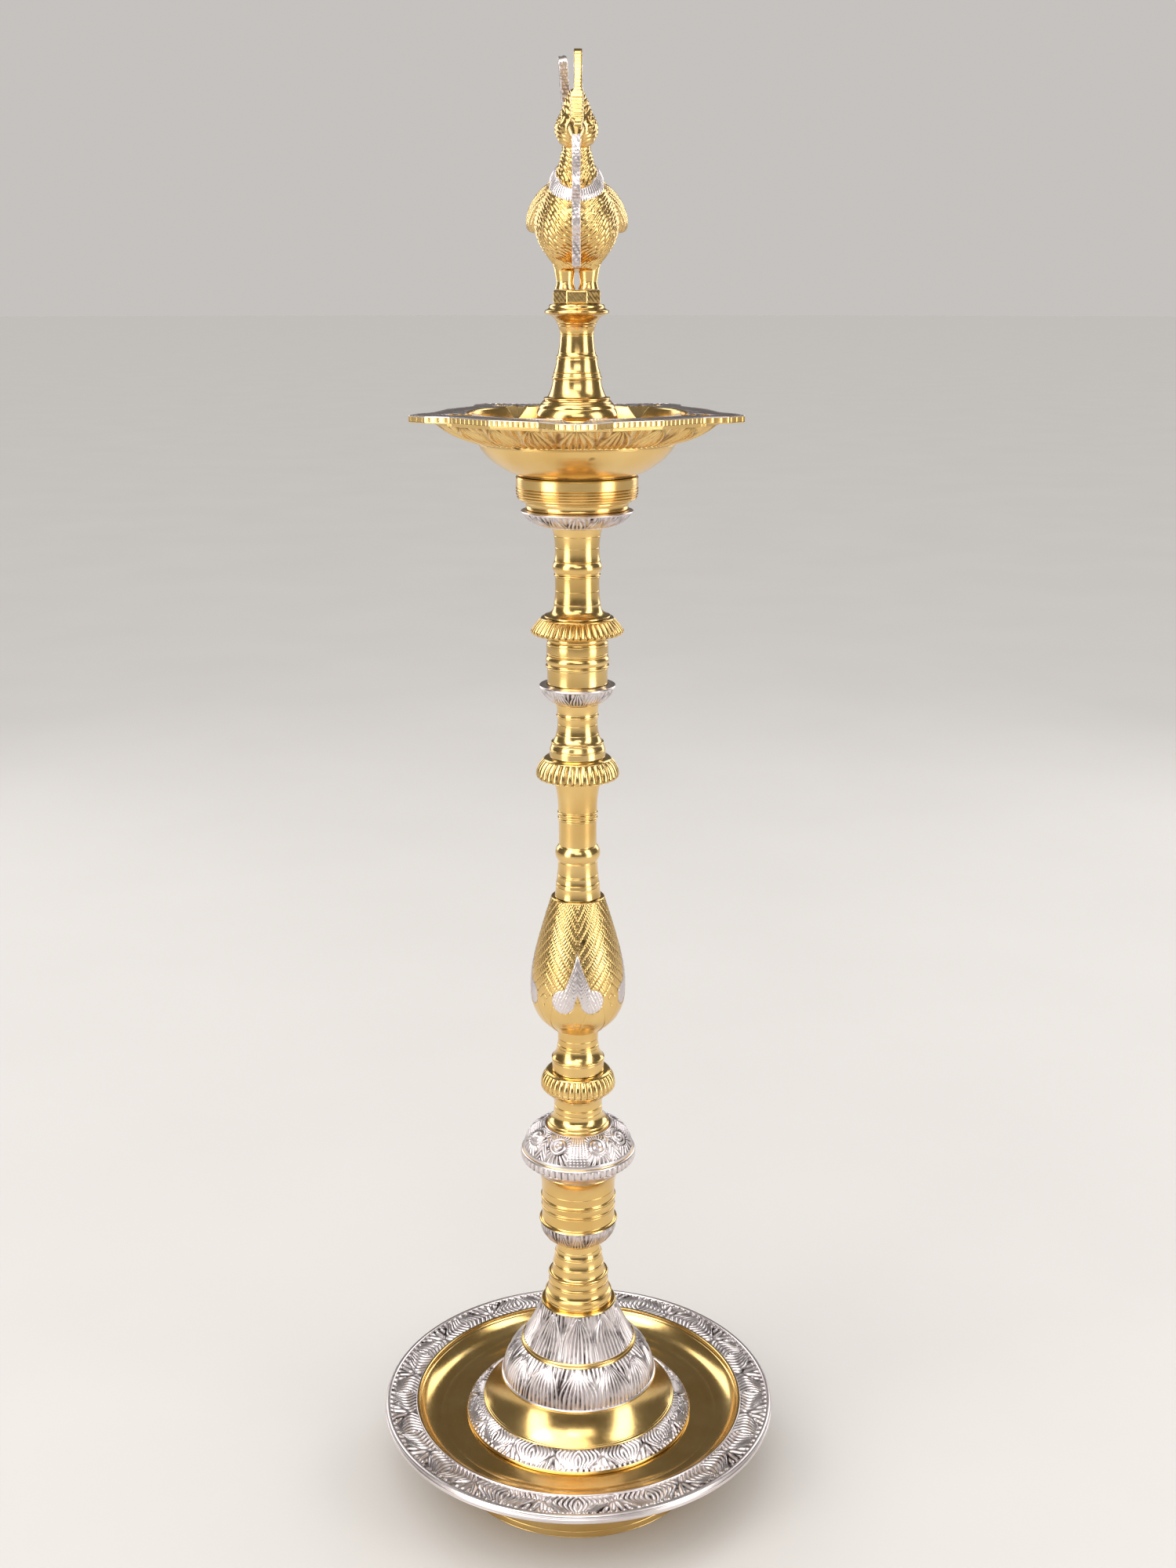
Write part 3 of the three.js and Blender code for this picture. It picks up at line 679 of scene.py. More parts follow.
# ---- stem ----
stem_section(
    "lower_cup",
    [
        (14.6, 0),
        (15.2, 1.0, 0.4),
        (25.4, 15.6, 3.2, Band(leaves(14, 2.2, 2.4), 1.0, 1.0, 0.5)),
        (26.0, 16.4, 0.3, SILVER),
        (25.0, 17.5, 0.3),
        (24.2, 18.1, -0.2),
        (24.1, 25.5, -0.15),
        *bead(24.1, 26.3, 0.8, 1.3),
        (24.1, 28.1),
        (24.3, 32.1, 0.2),
        *bead(24.3, 32.7, 1.1, 1.5),
        (24.0, 34.7),
        (24.2, 40, -0.1),
        (27.1, 52.9, -0.9),
        (26.7, 53.8, 0.2),
    ],
    stud=39.8,
    sides=420,
)

turned(
    "scroll_collar",
    [
        (22, 0.01),
        (27.4, 0),
        (28.6, 0.4, 0.2, SILVER),
        (34.0, 5.6, -0.5, SILVER),
        (34.6, 6.2, 0.3, SILVER),
        (37.2, 8.0, 0.2, Band(ribs(54), 1.2, 1.0, 0.5)),
        (37.6, 13.0, 0.5, Band(ribs(54), 1.4, 1.0, 0.5)),
        (36.5, 14.2, 0.3, SILVER),
        (36.2, 14.8, 0.2),
        (35.8, 17.0, 0.2, SILVER),
        (22.4, 30.6, 3.0, Band(scrolls, 1.1, 1.0, 0.45)),
        (21.0, 31.0, 0.3, SILVER),
        (20.6, 30.6),
        (20.6, 29.2),
        (BORE_R, 29.2),
        (BORE_R, 25.8),
        (20, 25.6),
        (32.4, 20),
        (33.2, 9.4),
    ],
    slot="silvered_brass",
    sides=560,
    close=True,
)

stem_section(
    "waist_spool",
    [
        (20.1, 0),
        (20.2, 2.6, 0.4),
        (19.3, 3.3),
        (19.1, 4.4, 0.2),
        (15.9, 11.4, -1.3),
        (15.6, 14.6, -0.1),
        *groove(15.6, 15.2, 0.25, 0.4),
        (16.9, 22.4, -0.3),
    ],
)

turned(
    "lower_ribbed_collar",
    [
        (BORE_R, 0),
        (17, 0),
        (20.8, 2.6, 0.3),
        (23.2, 5.0, 0.2),
        (24.2, 7.6, 0.5, Band(ribs(36), 1.2, 0, 0.5)),
        (21.2, 16.0, 0.9, Band(ribs(36), 1.2, 0, 0.5)),
        (20.4, 16.9, 0.2),
        (18.6, 17.6, 0.2),
        (BORE_R, 17.6),
    ],
    sides=432,
    close=True,
)

stem_section(
    "lower_neck",
    [
        (17.0, 0),
        (16.8, 6.4, -0.1),
        *bead(16.8, 7.0, 0.7, 1.5),
        (16.4, 8.9, -0.1),
        (13.5, 15.6, -0.6),
        *groove(13.2, 17.6, 0.25, 0.4),
        (13.0, 22, -0.1),
        (14.0, 28.9, -0.3),
    ],
)

stem_section(
    "engraved_bulb",
    [
        (15.2, 0),
        (17.2, 0.6, 0.2),
        (17.6, 1.0),
        Curve(
            [
                (25.2, 8.6), (29.4, 18), (30.6, 30), (29.6, 42), (26.6, 56), (21.6, 74),
                (17.0, 88.8),
            ],
            Band(bulb_relief, 0.75, bulb_crest, 0.42),
        ),
        (16.2, 89.4, 0.1),
    ],
    slot="cast_brass",
    sides=520,
)

stem_section(
    "bulb_neck",
    [
        (14.7, 0),
        (13.9, 6.8, -0.2),
        *groove(13.6, 9.0, 0.3, 0.5),
        (13.0, 13.6, -0.1),
        *groove(12.9, 14.2, 0.3, 0.5),
        (12.4, 23.0, -0.1),
        (12.4, 23.8),
        (12.4, 33.2, 1.8),
        (11.9, 33.9),
        (11.9, 50.2, -0.05),
        *bead(12.0, 50.8, 0.8, 1.1),
        (12.1, 53.0),
        *bead(12.1, 54.2, 0.9, 1.1),
        (12.2, 56.2),
        (15.2, 77.4, -0.8),
    ],
    stud=24.1,
)

turned(
    "middle_ribbed_collar",
    [
        (BORE_R, 0),
        (23.6, 0),
        (25.0, 0.3, 0.1),
        (25.9, 1.6, 0.2, Band(ribs(32, 0.6), 1.5, 0, 0.5)),
        (21.2, 11.8, 1.2, Band(ribs(32, 0.6), 1.5, 0, 0.5)),
        (20.0, 12.8, 0.2),
        (17.8, 13.5, -0.1),
        (BORE_R, 13.5),
    ],
    sides=480,
    close=True,
)

stem_section(
    "middle_spool",
    [
        (17.4, 0),
        (17.2, 3.8),
        *groove(17.1, 4.4, 0.3, 0.5),
        (16.2, 7.4),
        *bead(16.0, 7.8, 0.6, 1.5),
        (15.0, 10.0, -0.2),
        (13.2, 14.4, -0.4),
        (12.4, 20.4, -0.2),
        (12.6, 24.8, -0.1),
        *bead(12.8, 25.2, 0.5, 0.9),
        (12.6, 27.4, -0.1),
        (13.7, 33.4, -0.3),
    ],
)

turned(
    "middle_petal_collar",
    [
        (BORE_R, 0),
        (14, 0),
        (15.0, 0.6, 0.2),
        (22.9, 9.6, 1.5, Band(leaves(12, 2.2, 2.4), 1.0, 1.0, 0.5)),
        (23.5, 10.6, 0.3, SILVER),
        (23.0, 11.4, 0.3, SILVER),
        (19.4, 12.0, -0.2, SILVER),
        (19.0, 12.2),
        (BORE_R, 12.2),
    ],
    slot="silvered_brass",
    sides=360,
    close=True,
)

stem_section(
    "middle_drum",
    [
        (18.6, 0),
        (18.6, 9.4, -0.1),
        *bead(18.7, 9.9, 1.6, 1.5),
        (18.6, 12.0),
        (18.6, 17.0, 0.9),
        *groove(18.7, 17.4, 0.5, 0.6),
        (18.9, 19.0, 0.1),
        (18.8, 24.0, 0.1),
        (18.3, 26.4, 0.3),
        (16.8, 30.2, 0.8),
    ],
)

turned(
    "upper_ribbed_disc",
    [
        (BORE_R, 0),
        (26.0, 0),
        (27.6, 0.5, 0.2),
        (28.4, 1.8, 0.3, Band(ribs(40, 0.6), 1.3, 0, 0.5)),
        (22.4, 9.4, 0.4, Band(ribs(40, 0.6), 1.5, 0, 0.5)),
        (21.8, 10.2, 0.2),
        (20.8, 10.4),
        (BORE_R, 10.4),
    ],
    sides=480,
    close=True,
)

stem_section(
    "upper_spool",
    [
        (20.2, 0),
        (20.0, 0.8, 0.1),
        (14.2, 8.4, -2.0),
        (13.5, 16, -0.2),
        (13.6, 24.4, -0.1),
        *bead(13.6, 24.7, 1.0, 1.2),
        (13.7, 26.4),
        (13.9, 27.0),
        (13.9, 33.4, 1.1),
        *groove(13.9, 33.8, 0.5, 0.5),
        (13.5, 42, -0.2),
        (14.1, 49, -0.1),
        (15.9, 54, -0.3),
    ],
    stud=41.0,
)

turned(
    "pan_petal_collar",
    [
        (BORE_R, 0),
        (17.8, 0),
        (19.6, 0.6, 0.3, SILVER),
        (33.2, 8.6, 1.9, Band(leaves(14, 2.2, 2.4), 1.3, 1.0, 0.5)),
        (33.9, 9.4, 0.2, SILVER),
        (33.4, 10.0, 0.2, SILVER),
        (31, 10.4, 0, SILVER),
        (BORE_R, 10.4),
    ],
    slot="silvered_brass",
    sides=420,
    close=True,
)

turned(
    "pan_seat_ring",
    [
        (BORE_R, 0),
        (30.4, 0),
        (31.0, 1.0, 0.2),
        (31.4, 4.4, -0.5),
        (34.8, 6.0, -0.4),
        (35.8, 6.8, 0.2),
        *groove(36.0, 7.6, 0.6, 0.7),
        *groove(36.5, 9.2, 0.6, 0.7),
        *groove(36.6, 10.9, 0.6, 0.7),
        *groove(36.6, 12.6, 0.6, 0.7),
        (36.6, 18.9),
        (36.0, 19.6, 0.2),
        (33.6, 19.7),
        (32.8, 19.2),
        (32.8, 4.6),
        (BORE_R, 4.6),
    ],
    sides=192,
    close=True,
)

# ---- oil pan ----
SPOUTS = 5
SPOUT_REACH = 101.5
SPOUT_CORNERS = ((82.4, 20.5), (94.8, 11.3), (SPOUT_REACH, 0))  # reach, half width
LOBE_R = 83.0
PAN_TOP = 37.0
PLATE_LOW = 32.9  # the underside of the pan's flat rim
TROUGH_FROM, TROUGH_TO = 50.0, 91.0  # how far out the wick troughs begin and end
TROUGH_WIDE, TROUGH_NARROW = 11.0, 4.4


def pan_edge(theta):
    """The radius of the pan's outline: spouts with stepped shoulders, and shallow lobes between."""
    half_sector = TURN / SPOUTS / 2
    lobe = (LOBE_R * math.cos(half_sector), LOBE_R * math.sin(half_sector))
    corners = [lobe, *SPOUT_CORNERS]
    a = np.abs(unit(theta, SPOUTS)) * half_sector
    edge = np.zeros_like(a)
    for (x1, y1), (x2, y2) in zip(corners, corners[1:]):
        inside = (a <= math.atan2(y1, x1) + 1e-9) & (a >= math.atan2(y2, x2) - 1e-9)
        across = (y2 - y1) * np.cos(a) - (x2 - x1) * np.sin(a)
        edge = np.where(inside, (x1 * y2 - x2 * y1) / across, edge)
    return edge


def wick_troughs(theta, r):
    """The height of the troughs' floors, and above the pan where there is no trough."""
    a = unit(theta, SPOUTS) * TURN / SPOUTS / 2
    out, side = r * np.cos(a), np.abs(r * np.sin(a))
    share = np.clip((out - TROUGH_FROM) / (TROUGH_TO - TROUGH_FROM), 0, 1)
    radius = TROUGH_WIDE + (TROUGH_NARROW - TROUGH_WIDE) * share
    inside = (out > TROUGH_FROM) & (out < TROUGH_TO) & (side < radius)
    # A rounded V: a trough's floor is narrower than a half circle of the same depth.
    v = 1 - (side / np.maximum(radius, 1e-6)) ** 1.25
    end = smooth(TROUGH_TO - out, 0, 2.5)
    return np.where(inside, PAN_TOP + 1 - radius * v * end, PAN_TOP + 5)


PAN_SIDES = 1200
pan_theta = np.arange(PAN_SIDES) * TURN / PAN_SIDES
edge = pan_edge(pan_theta)
band_end = np.minimum(85.3, edge - 1.5)
turned(
    "oil_pan",
    [
        (0, 10.3),
        (BORE_R, 10.3),
        (BORE_R, 0),
        (34.8, 0),
        (36.4, 0.5, 0.2),
        Curve([(43, 3.6), (51.4, 9.4), (56.8, 15.2), (58.6, 18.4)]),
        (59.2, 19.2, 0.3),
        (60.2, 19.5, 0.1),
        (band_end, PLATE_LOW - 1.6, 1.6, Band(leaves(20, 2.6, 2.8), 1.4, 0, 0.5)),
        (band_end + 0.3, PLATE_LOW, 0),
        (edge - 0.5, PLATE_LOW, 0),
        (edge, PLATE_LOW + 0.5, 0.1),
        (edge, PAN_TOP - 0.7, 0, Band(ribs(150, 0.4), 0.3, 0.0, 0.45)),
        (edge - 0.7, PAN_TOP, 0.2, SILVER),
        (edge - 1.6, PAN_TOP, 0, SILVER),
        (66.2, PAN_TOP, 0, Band(flames(30, 4.0), 0.75, 1.0, 0.5)),
        (64.8, PAN_TOP, 0.1, SILVER),
        (64.0, PAN_TOP - 0.8, 0.2),
        (63.2, 29.2, 0.1, Band(step=0.8)),
        (60.6, 23.4, 0.5),
        Curve([(56, 17.4), (48, 11.8), (38, 8.2), (27, 6.6)], Band(step=1.0)),
        (13.5, 6.6),
        (13.5, 13.2),
        (13.1, 13.6),
        (STUD_R, 13.6),
        (STUD_R, 22.9, 0, Band(thread(length=9.3), 0.7, step=0.4)),
        (7.2, 23.6),
        (0, 23.6),
    ],
    slot="cast_brass",
    sides=PAN_SIDES,
    carve=wick_troughs,
)

turned(
    "pan_cone",
    [
        (0, 18.6),
        (BORE_R, 18.6),
        (BORE_R, 7.6),
        (14, 7.6),
        (14, 0),
        (24.6, 0),
        (25.2, 0.8, 0.2),
        (24.9, 18, 0.2),
        *groove(24.8, 19.4, 0.3, 0.5),
        (24.2, 26, 0.3),
        (22.6, 32.2, 0.6),
        (21.0, 35.2, 0.5),
        (19.5, 36.8, 0.2),
        *bead(19.3, 37.4, 0.5, 1.0),
        (17.3, 39.0, -0.2),
        (14.3, 48.0, -0.5),
        *bead(14.2, 48.8, 1.2, 1.5),
        (14.0, 51.2),
        *groove(13.7, 52.4, 0.3, 0.5),
        (12.0, 60.2, -0.3),
        *bead(11.8, 60.9, 0.6, 1.3),
        (10.9, 64.0, -0.1),
        (9.9, 73.5, -0.2),
        *groove(9.9, 74.4, 0.25, 0.4),
        (11.0, 79, -0.2),
        (5.4, 79),
        (5.4, 68.5),
        (0, 68.5),
    ],
    sides=144,
)

# ---- finial ----
turned(
    "finial_flange",
    [
        (5.4, 0),
        (10.8, 0),
        (11.6, 1.4, -0.1),
        (16.9, 6.2, -0.9),
        (18.0, 6.7, 0.1),
        (18.8, 7.6, 0.4),
        (18.3, 8.8, 0.3),
        (17.3, 9.3, -0.1),
        (16.2, 11.2, -0.5),
        (15.6, 12, 0.1),
        (5.4, 12),
    ],
    sides=112,
    close=True,
)

turned(
    "finial_stud",
    [
        (0, 0),
        (4.4, 0),
        (5.0, 0.6),
        (5.0, 26.0, 0, Band(thread(1.5, 25.4), 0.55, step=0.35)),
        (4.4, 26.3),
        (0, 26.3),
    ],
    slot="steel",
    sides=48,
)


# ---- sculpted pieces ----
def solid_shape(build):
    """A mesh from build(bm), which adds closed shapes in mm that may overlap."""
    bm = bmesh.new()
    build(bm)
    bmesh.ops.triangulate(bm, faces=bm.faces)
    bmesh.ops.recalc_face_normals(bm, faces=bm.faces)
    mesh = bpy.data.meshes.new("rough")
    bm.to_mesh(mesh)
    bm.free()
    return mesh


def ball(bm, at, radii):
    place = Matrix.Translation(at) @ Matrix.Diagonal((*radii, 1))
    bmesh.ops.create_uvsphere(bm, u_segments=48, v_segments=32, radius=1, matrix=place)


def limb(bm, a, b, ra, rb):
    a, b = Vector(a), Vector(b)
    turn = Vector((0, 0, 1)).rotation_difference(b - a).to_matrix().to_4x4()
    place = Matrix.Translation((a + b) / 2) @ turn
    bmesh.ops.create_cone(
        bm, cap_ends=True, segments=40, radius1=ra, radius2=rb, depth=(b - a).length, matrix=place
    )


def plate(bm, outline, thickness, x=0.0, yaw=0.0):
    """A flat plate in the bird's middle plane, its (y, z) outline curved between the points."""
    curve = rounded(outline)
    turn = Matrix.Rotation(yaw, 4, "Z")
    sides = []
    for side in (-1, 1):
        off = x + side * thickness / 2
        sides.append([bm.verts.new(turn @ Vector((off, y, z))) for y, z in curve])
    bm.faces.new(sides[0])
    bm.faces.new(sides[1][::-1])
    count = len(curve)
    for k in range(count):
        j = (k + 1) % count
        bm.faces.new((sides[0][k], sides[1][k], sides[1][j], sides[0][j]))


def rounded(outline, steps=5):
    """A closed smooth curve through the outline's points."""
    knots = np.array(outline, dtype=float)
    made = []
    for k in range(len(knots)):
        four = [knots[(k + i) % len(knots)] for i in (-1, 0, 1, 2)]
        made += [catmull_rom(four, u)[0] for u in np.arange(steps) / steps]
    return made


def sculpt(name, node, build, relief, voxel=0.6, rounds=6, slot="cast_brass"):
    """Shapes melted into one skin by remeshing, then chased.

    relief(points, normals) gives the height in mm, the silvering and the hollows.
    """
    rough = solid_shape(build)
    obj = bpy.data.objects.new(name, rough)
    bpy.context.scene.collection.objects.link(obj)
    remesh = obj.modifiers.new("skin", "REMESH")
    remesh.mode = "VOXEL"
    remesh.voxel_size = voxel
    soften = obj.modifiers.new("soften", "SMOOTH")
    soften.iterations = rounds
    soften.factor = 0.5
    skin = bpy.data.meshes.new_from_object(obj.evaluated_get(bpy.context.evaluated_depsgraph_get()))
    bpy.data.objects.remove(obj)
    bpy.data.meshes.remove(rough)

    points = np.empty(len(skin.vertices) * 3)
    normals = np.empty_like(points)
    skin.vertices.foreach_get("co", points)
    skin.vertices.foreach_get("normal", normals)
    points, normals = points.reshape(-1, 3), normals.reshape(-1, 3)
    height, silver, hollow = relief(points, normals)
    points = points + normals * np.asarray(height)[:, None]
    points[:, 2] += BIRD_Z
    faces = [list(p.vertices) for p in skin.polygons]
    bpy.data.meshes.remove(skin)
    stand_for(add_mesh(name, points * MM, faces, silver, hollow), node, slot)


# The bird's pieces are in mm from the plinth's top, with the beak towards -Y.
BIRD_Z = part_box("peacock_body")[0][2] / MM


def bird_shape(bm):
    """Plump body, tapering neck, head and beak, and two stout legs."""
    ball(bm, (0, 4, 37.5), (24.6, 30, 25.6))
    ball(bm, (0, -6, 46), (19.5, 19, 19))
    limb(bm, (0, 3, 10.6), (0, 4, 22), 11, 19.8)
    limb(bm, (0, -2, 50), (0, -8, 67), 21.2, 10.8)
    limb(bm, (0, -8, 64), (0, -13, 77), 11.4, 7.8)
    limb(bm, (0, -12, 74), (0, -14, 84), 8.0, 8.6)
    ball(bm, (0, -15, 86.5), (12.2, 13.4, 11.6))
    limb(bm, (0, -15, 89), (0, -17, 106.5), 11.8, 4.5)
    limb(bm, (0, -25, 86), (0, -36.2, 80.2), 5.6, 1.8)
    limb(bm, (0, -25, 82), (0, -34, 76.5), 4.2, 1.4)
    for side in (-1, 1):
        limb(bm, (side * 6.8, 3, 0), (side * 6.8, 3, 3.6), 6.2, 5.2)
        limb(bm, (side * 6.8, 3, 2.4), (side * 7.2, 3, 22), 4.7, 8.0)


def feathers(points, normals):
    """Short curved strokes that run down to the front, over all but the legs and the beak."""
    x, y, z = points.T
    around = np.abs(np.arctan2(x, 1 - y)) * 17.0
    lean = around / 2.3 - z / 3.0 + 0.5 * np.sin(z / 5.1) + 0.5 * np.sin(z / 9.3 + around / 5)
    column = np.floor(lean)
    a = np.mod(lean, 1.0) * 2 - 1
    rise = z / 5.4 + 0.5 * np.mod(column, 2) + 0.13 * np.sin(column * 2.4)
    b = np.mod(rise, 1.0) * 2 - 1
    stroke = 1 - smooth(np.abs(a - 0.45 * b**2 + 0.2), 0.1, 0.85)
    height = stroke * (1 - smooth(np.abs(b), 0.62, 1.0))
    bare = np.clip(smooth(13 - z, -2, 3) + smooth(-25.5 - y, -1, 1.5), 0, 1)
    height = height * (1 - bare) + 0.8 * bare
    eye = np.hypot(y + 21.5, z - 90.5)
    ring = np.clip((1 - smooth(np.abs(eye - 2.4), 0.3, 0.8)) + (1 - smooth(eye, 0.7, 1.3)), 0, 1)
    height = np.where(np.abs(x) > 6, np.maximum(height * smooth(eye, 2.6, 4.0), ring), height)
    return 0.45 * (height - 0.8), np.zeros(len(x)), np.clip(0.6 - height, 0, 1)


sculpt("peacock_body_look", "peacock_body", bird_shape, feathers, voxel=0.42)

# Outlines of the flat pieces in the bird's middle plane, as (y, z).
TAIL_OUTLINE = (
    (22, 30), (40, 34), (52, 44), (60, 60), (62, 78), (58, 96), (50, 111), (38, 123.5),
    (26, 130.0), (17, 126.5), (22, 116), (31, 104), (37, 90), (36, 74), (28, 62), (16, 54),
)
CREST_OUTLINE = (
    (-31.6, 84), (-31.0, 96), (-25.4, 110), (-19, 121), (-13.4, 128.4), (-6.6, 128.0),
    (-4.5, 119), (-3, 110), (0, 102), (-6, 92), (-20, 86),
)
FACE_OUTLINE = ((-31.2, 89.5), (-30.8, 96), (-27.6, 105), (-22, 105), (-22, 89.5))
GARLAND_OUTLINE = (
    (-35.2, 83), (-38.6, 80), (-42.6, 70), (-39.5, 62), (-43.0, 54), (-38, 46), (-40.2, 36),
    (-36, 26), (-34, 12.6), (-28.8, 13.4), (-24, 24), (-21, 34), (-21, 46), (-30, 52),
    (-32.4, 60), (-33.4, 70), (-33, 80),
)


def quills(centre, spokes, silver_sides, pitted=True):
    """Relief for a flat plate: quills that fan out from a point, and edges with pits or lines."""

    def relief(points, normals):
        x, y, z = points.T
        dy, dz = y - centre[0], z - centre[1]
        angle, reach = np.arctan2(dz, dy), np.hypot(dy, dz)
        flat = smooth(np.abs(normals[:, 0]), 0.6, 0.9)
        ridge = wave(angle * spokes / TURN + 0.15 * np.sin(reach / 6))
        barb = wave(reach / 1.9 + 1.3 * np.abs(ridge - 0.5))
        chased = 0.55 * ridge + 0.35 * barb
        if pitted:
            edge = 0.1 + 0.9 * wave(z / 2.3 + 0.9 * np.sin(z / 3.7)) * wave(x / 3.1 + z / 5.3)
        else:
            edge = 0.6 + 0.3 * wave(z / 1.9)
        height = chased * flat + edge * (1 - flat)
        silver = np.clip(silver_sides[0] * flat + silver_sides[1] * (1 - flat), 0, 1)
        return 0.5 * (height - 0.9), silver, np.clip(0.8 - height, 0, 1)

    return relief


TAIL_YAW = math.radians(2)
TAIL_ROLL = math.radians(-6.2)  # the tip leans to the left
TAIL_PIVOT = 60  # the height that it leans about


def tail_shape(bm):
    plate(bm, TAIL_OUTLINE, 5.4, yaw=TAIL_YAW)
    pivot = Matrix.Translation((0, 0, TAIL_PIVOT))
    bm.transform(pivot @ Matrix.Rotation(TAIL_ROLL, 4, "Y") @ pivot.inverted())


def crest_shape(bm):
    """The crest's plate, whose front is thicker over the face."""
    plate(bm, CREST_OUTLINE, 5.2, x=1.0)
    plate(bm, FACE_OUTLINE, 7.8, x=0.4)


sculpt(
    "peacock_tail_look",
    "peacock_tail",
    tail_shape,
    quills((10, 60), 44, (1.0, 0.85)),
    rounds=3,
)
sculpt(
    "peacock_crest_look",
    "peacock_crest",
    crest_shape,
    quills((-30, 84), 60, (0.9, 0.0), pitted=False),
    rounds=3,
)
sculpt(
    "beak_garland_look",
    "beak_garland",
    lambda bm: plate(bm, GARLAND_OUTLINE, 5.0),
    quills((-20, 60), 50, (1.0, 1.0)),
    voxel=0.45,
    rounds=3,
    slot="silvered_brass",
)


NECKLACE_AT = (0, -11, 60)
NECKLACE_TILT = math.radians(34)
# Its section: how far a corner stands off the bird's skin, and its height in the band's plane.
NECKLACE_SECTION = ((-1.2, -2.4), (0.9, -2.3), (1.2, 0.0), (0.9, 2.3), (-1.2, 2.4))


def necklace_shape(bm):
    """A flat band that lies on the breast, in a plane tilted down towards the front."""
    body = bmesh.new()
    bird_shape(body)
    bmesh.ops.triangulate(body, faces=body.faces)
    skin = BVHTree.FromBMesh(body)
    body.free()
    tilt = Matrix.Translation(NECKLACE_AT) @ Matrix.Rotation(NECKLACE_TILT, 4, "X")
    count = 120
    rings = []
    for off, height in NECKLACE_SECTION:
        ring = []
        for k in range(count):
            a = k * TURN / count
            way = tilt.to_3x3() @ Vector((math.cos(a), math.sin(a), 0))
            start = tilt @ Vector((0, 0, height)) + way * 60
            hit = skin.ray_cast(start, -way)[0]
            ring.append(bm.verts.new(hit + way * off))
        rings.append(ring)
    for one, two in zip(rings, rings[1:] + rings[:1]):
        for k in range(count):
            j = (k + 1) % count
            bm.faces.new((one[k], one[j], two[j], two[k]))


def necklace_relief(points, normals):
    """Sixty beads side by side."""
    x, y, _ = points.T
    a = np.arctan2(x, NECKLACE_AT[1] - y)
    height = 0.5 + 0.5 * wave(a * 60 / TURN)
    return 0.45 * (height - 1), np.ones(len(x)), 1 - height


sculpt(
    "neck_band_look",
    "neck_band",
    necklace_shape,
    necklace_relief,
    voxel=0.4,
    rounds=2,
    slot="silvered_brass",
)


WING_AT = (19.4, 11, 45.6)
WING_DROOP = math.radians(24)  # the tips hang lower than the shoulders
WING_LEAN = math.radians(25)  # the top edges lie against the neck, and the lower edges stand out


def wing_shape(side):
    """A lens against the bird's side, with its long way along the body."""

    def build(bm):
        place = (
            Matrix.Translation((side * WING_AT[0], WING_AT[1], WING_AT[2]))
            @ Matrix.Rotation(-side * math.radians(9), 4, "Z")
            @ Matrix.Rotation(-side * WING_LEAN, 4, "Y")
            @ Matrix.Rotation(-WING_DROOP, 4, "X")
        )
        bmesh.ops.create_uvsphere(
            bm,
            u_segments=56,
            v_segments=36,
            radius=1,
            matrix=place @ Matrix.Diagonal((7.4, 23, 12.4, 1)),
        )

    return build


def wing_relief(points, normals):
    """Long flight feathers that run back and down from the shoulder, with barbs along them."""
    x, y, z = points.T
    c, s = math.cos(WING_DROOP), math.sin(WING_DROOP)
    z = (z - WING_AT[2]) / math.cos(WING_LEAN)
    y = y - WING_AT[1]
    back = y * c - z * s
    up = y * s + z * c
    fan = up / (5 + 0.10 * (back + 26)) + 0.02 * back
    quill = wave(fan * 2.1) ** 0.6
    barb = wave(back / 1.8 + 1.6 * np.mod(fan * 2.1, 1.0))
    height = 0.62 * quill + 0.3 * barb
    return 0.7 * (height - 0.8), np.zeros(len(x)), np.clip(0.7 - height, 0, 1)


for side, node in ((-1, "left_wing"), (1, "right_wing")):
    sculpt(node + "_look", node, wing_shape(side), wing_relief, voxel=0.5, rounds=2)


def plinth_shape(bm):
    """An eight-sided block with softened corners."""
    place = Matrix.Translation((0, 0, -4.1)) @ Matrix.Rotation(math.radians(22.5), 4, "Z")
    bmesh.ops.create_cone(
        bm, cap_ends=True, segments=8, radius1=14.9, radius2=14.9, depth=8.1, matrix=place
    )


def hammered(points, normals):
    """Shallow dents."""
    x, y, z = points.T
    height = 0.4 * np.sin(x * 1.1 + 2) * np.sin(y * 0.9) * np.sin(z * 1.4)
    height = height + 0.2 * np.sin(3.1 * x + 2.3 * z)
    return 0.2 * (height - 0.6), np.zeros(len(x)), np.clip(-height, 0, 1) * 0.4


sculpt("finial_plinth_look", "finial_plinth", plinth_shape, hammered, rounds=3)

# ---- hidden fastener ----
BOLT_SIDES = 96
BOLT_HEAD_R = 10.5  # to a corner of its hexagon
bolt_theta = np.arange(BOLT_SIDES) * TURN / BOLT_SIDES
from_flat = np.mod(bolt_theta, TURN / 6) - TURN / 12
hex_r = BOLT_HEAD_R * math.cos(TURN / 12) / np.cos(from_flat)
bolt_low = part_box("pedestal_tie_bolt")[0][2] / MM
bolt_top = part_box("pedestal_tie_bolt")[1][2] / MM - bolt_low
turned(
    "pedestal_tie_bolt",
    [
        (0, 0),
        (8.6, 0),
        (hex_r, 1.0, 0.1),
        (hex_r, 6.6),
        (8.8, 7.0),
        (5.0, 7.0),
        (5.0, 80, 0),
        (5.0, bolt_top - 1, 0, Band(thread(1.5, bolt_top - 81), 0.5, step=0.35)),
        (4.2, bolt_top),
        (0, bolt_top),
    ],
    slot="steel",
    sides=BOLT_SIDES,
)
turned(
    "tie_bolt_washer",
    [
        (BOLT_HOLE_R, 0),
        (18.4, 0),
        (19.0, 0.5, 0.1),
        (19.0, 2.2),
        (18.5, 2.6, 0.1),
        (BOLT_HOLE_R, 2.6),
    ],
    slot="steel",
    sides=96,
    close=True,
)


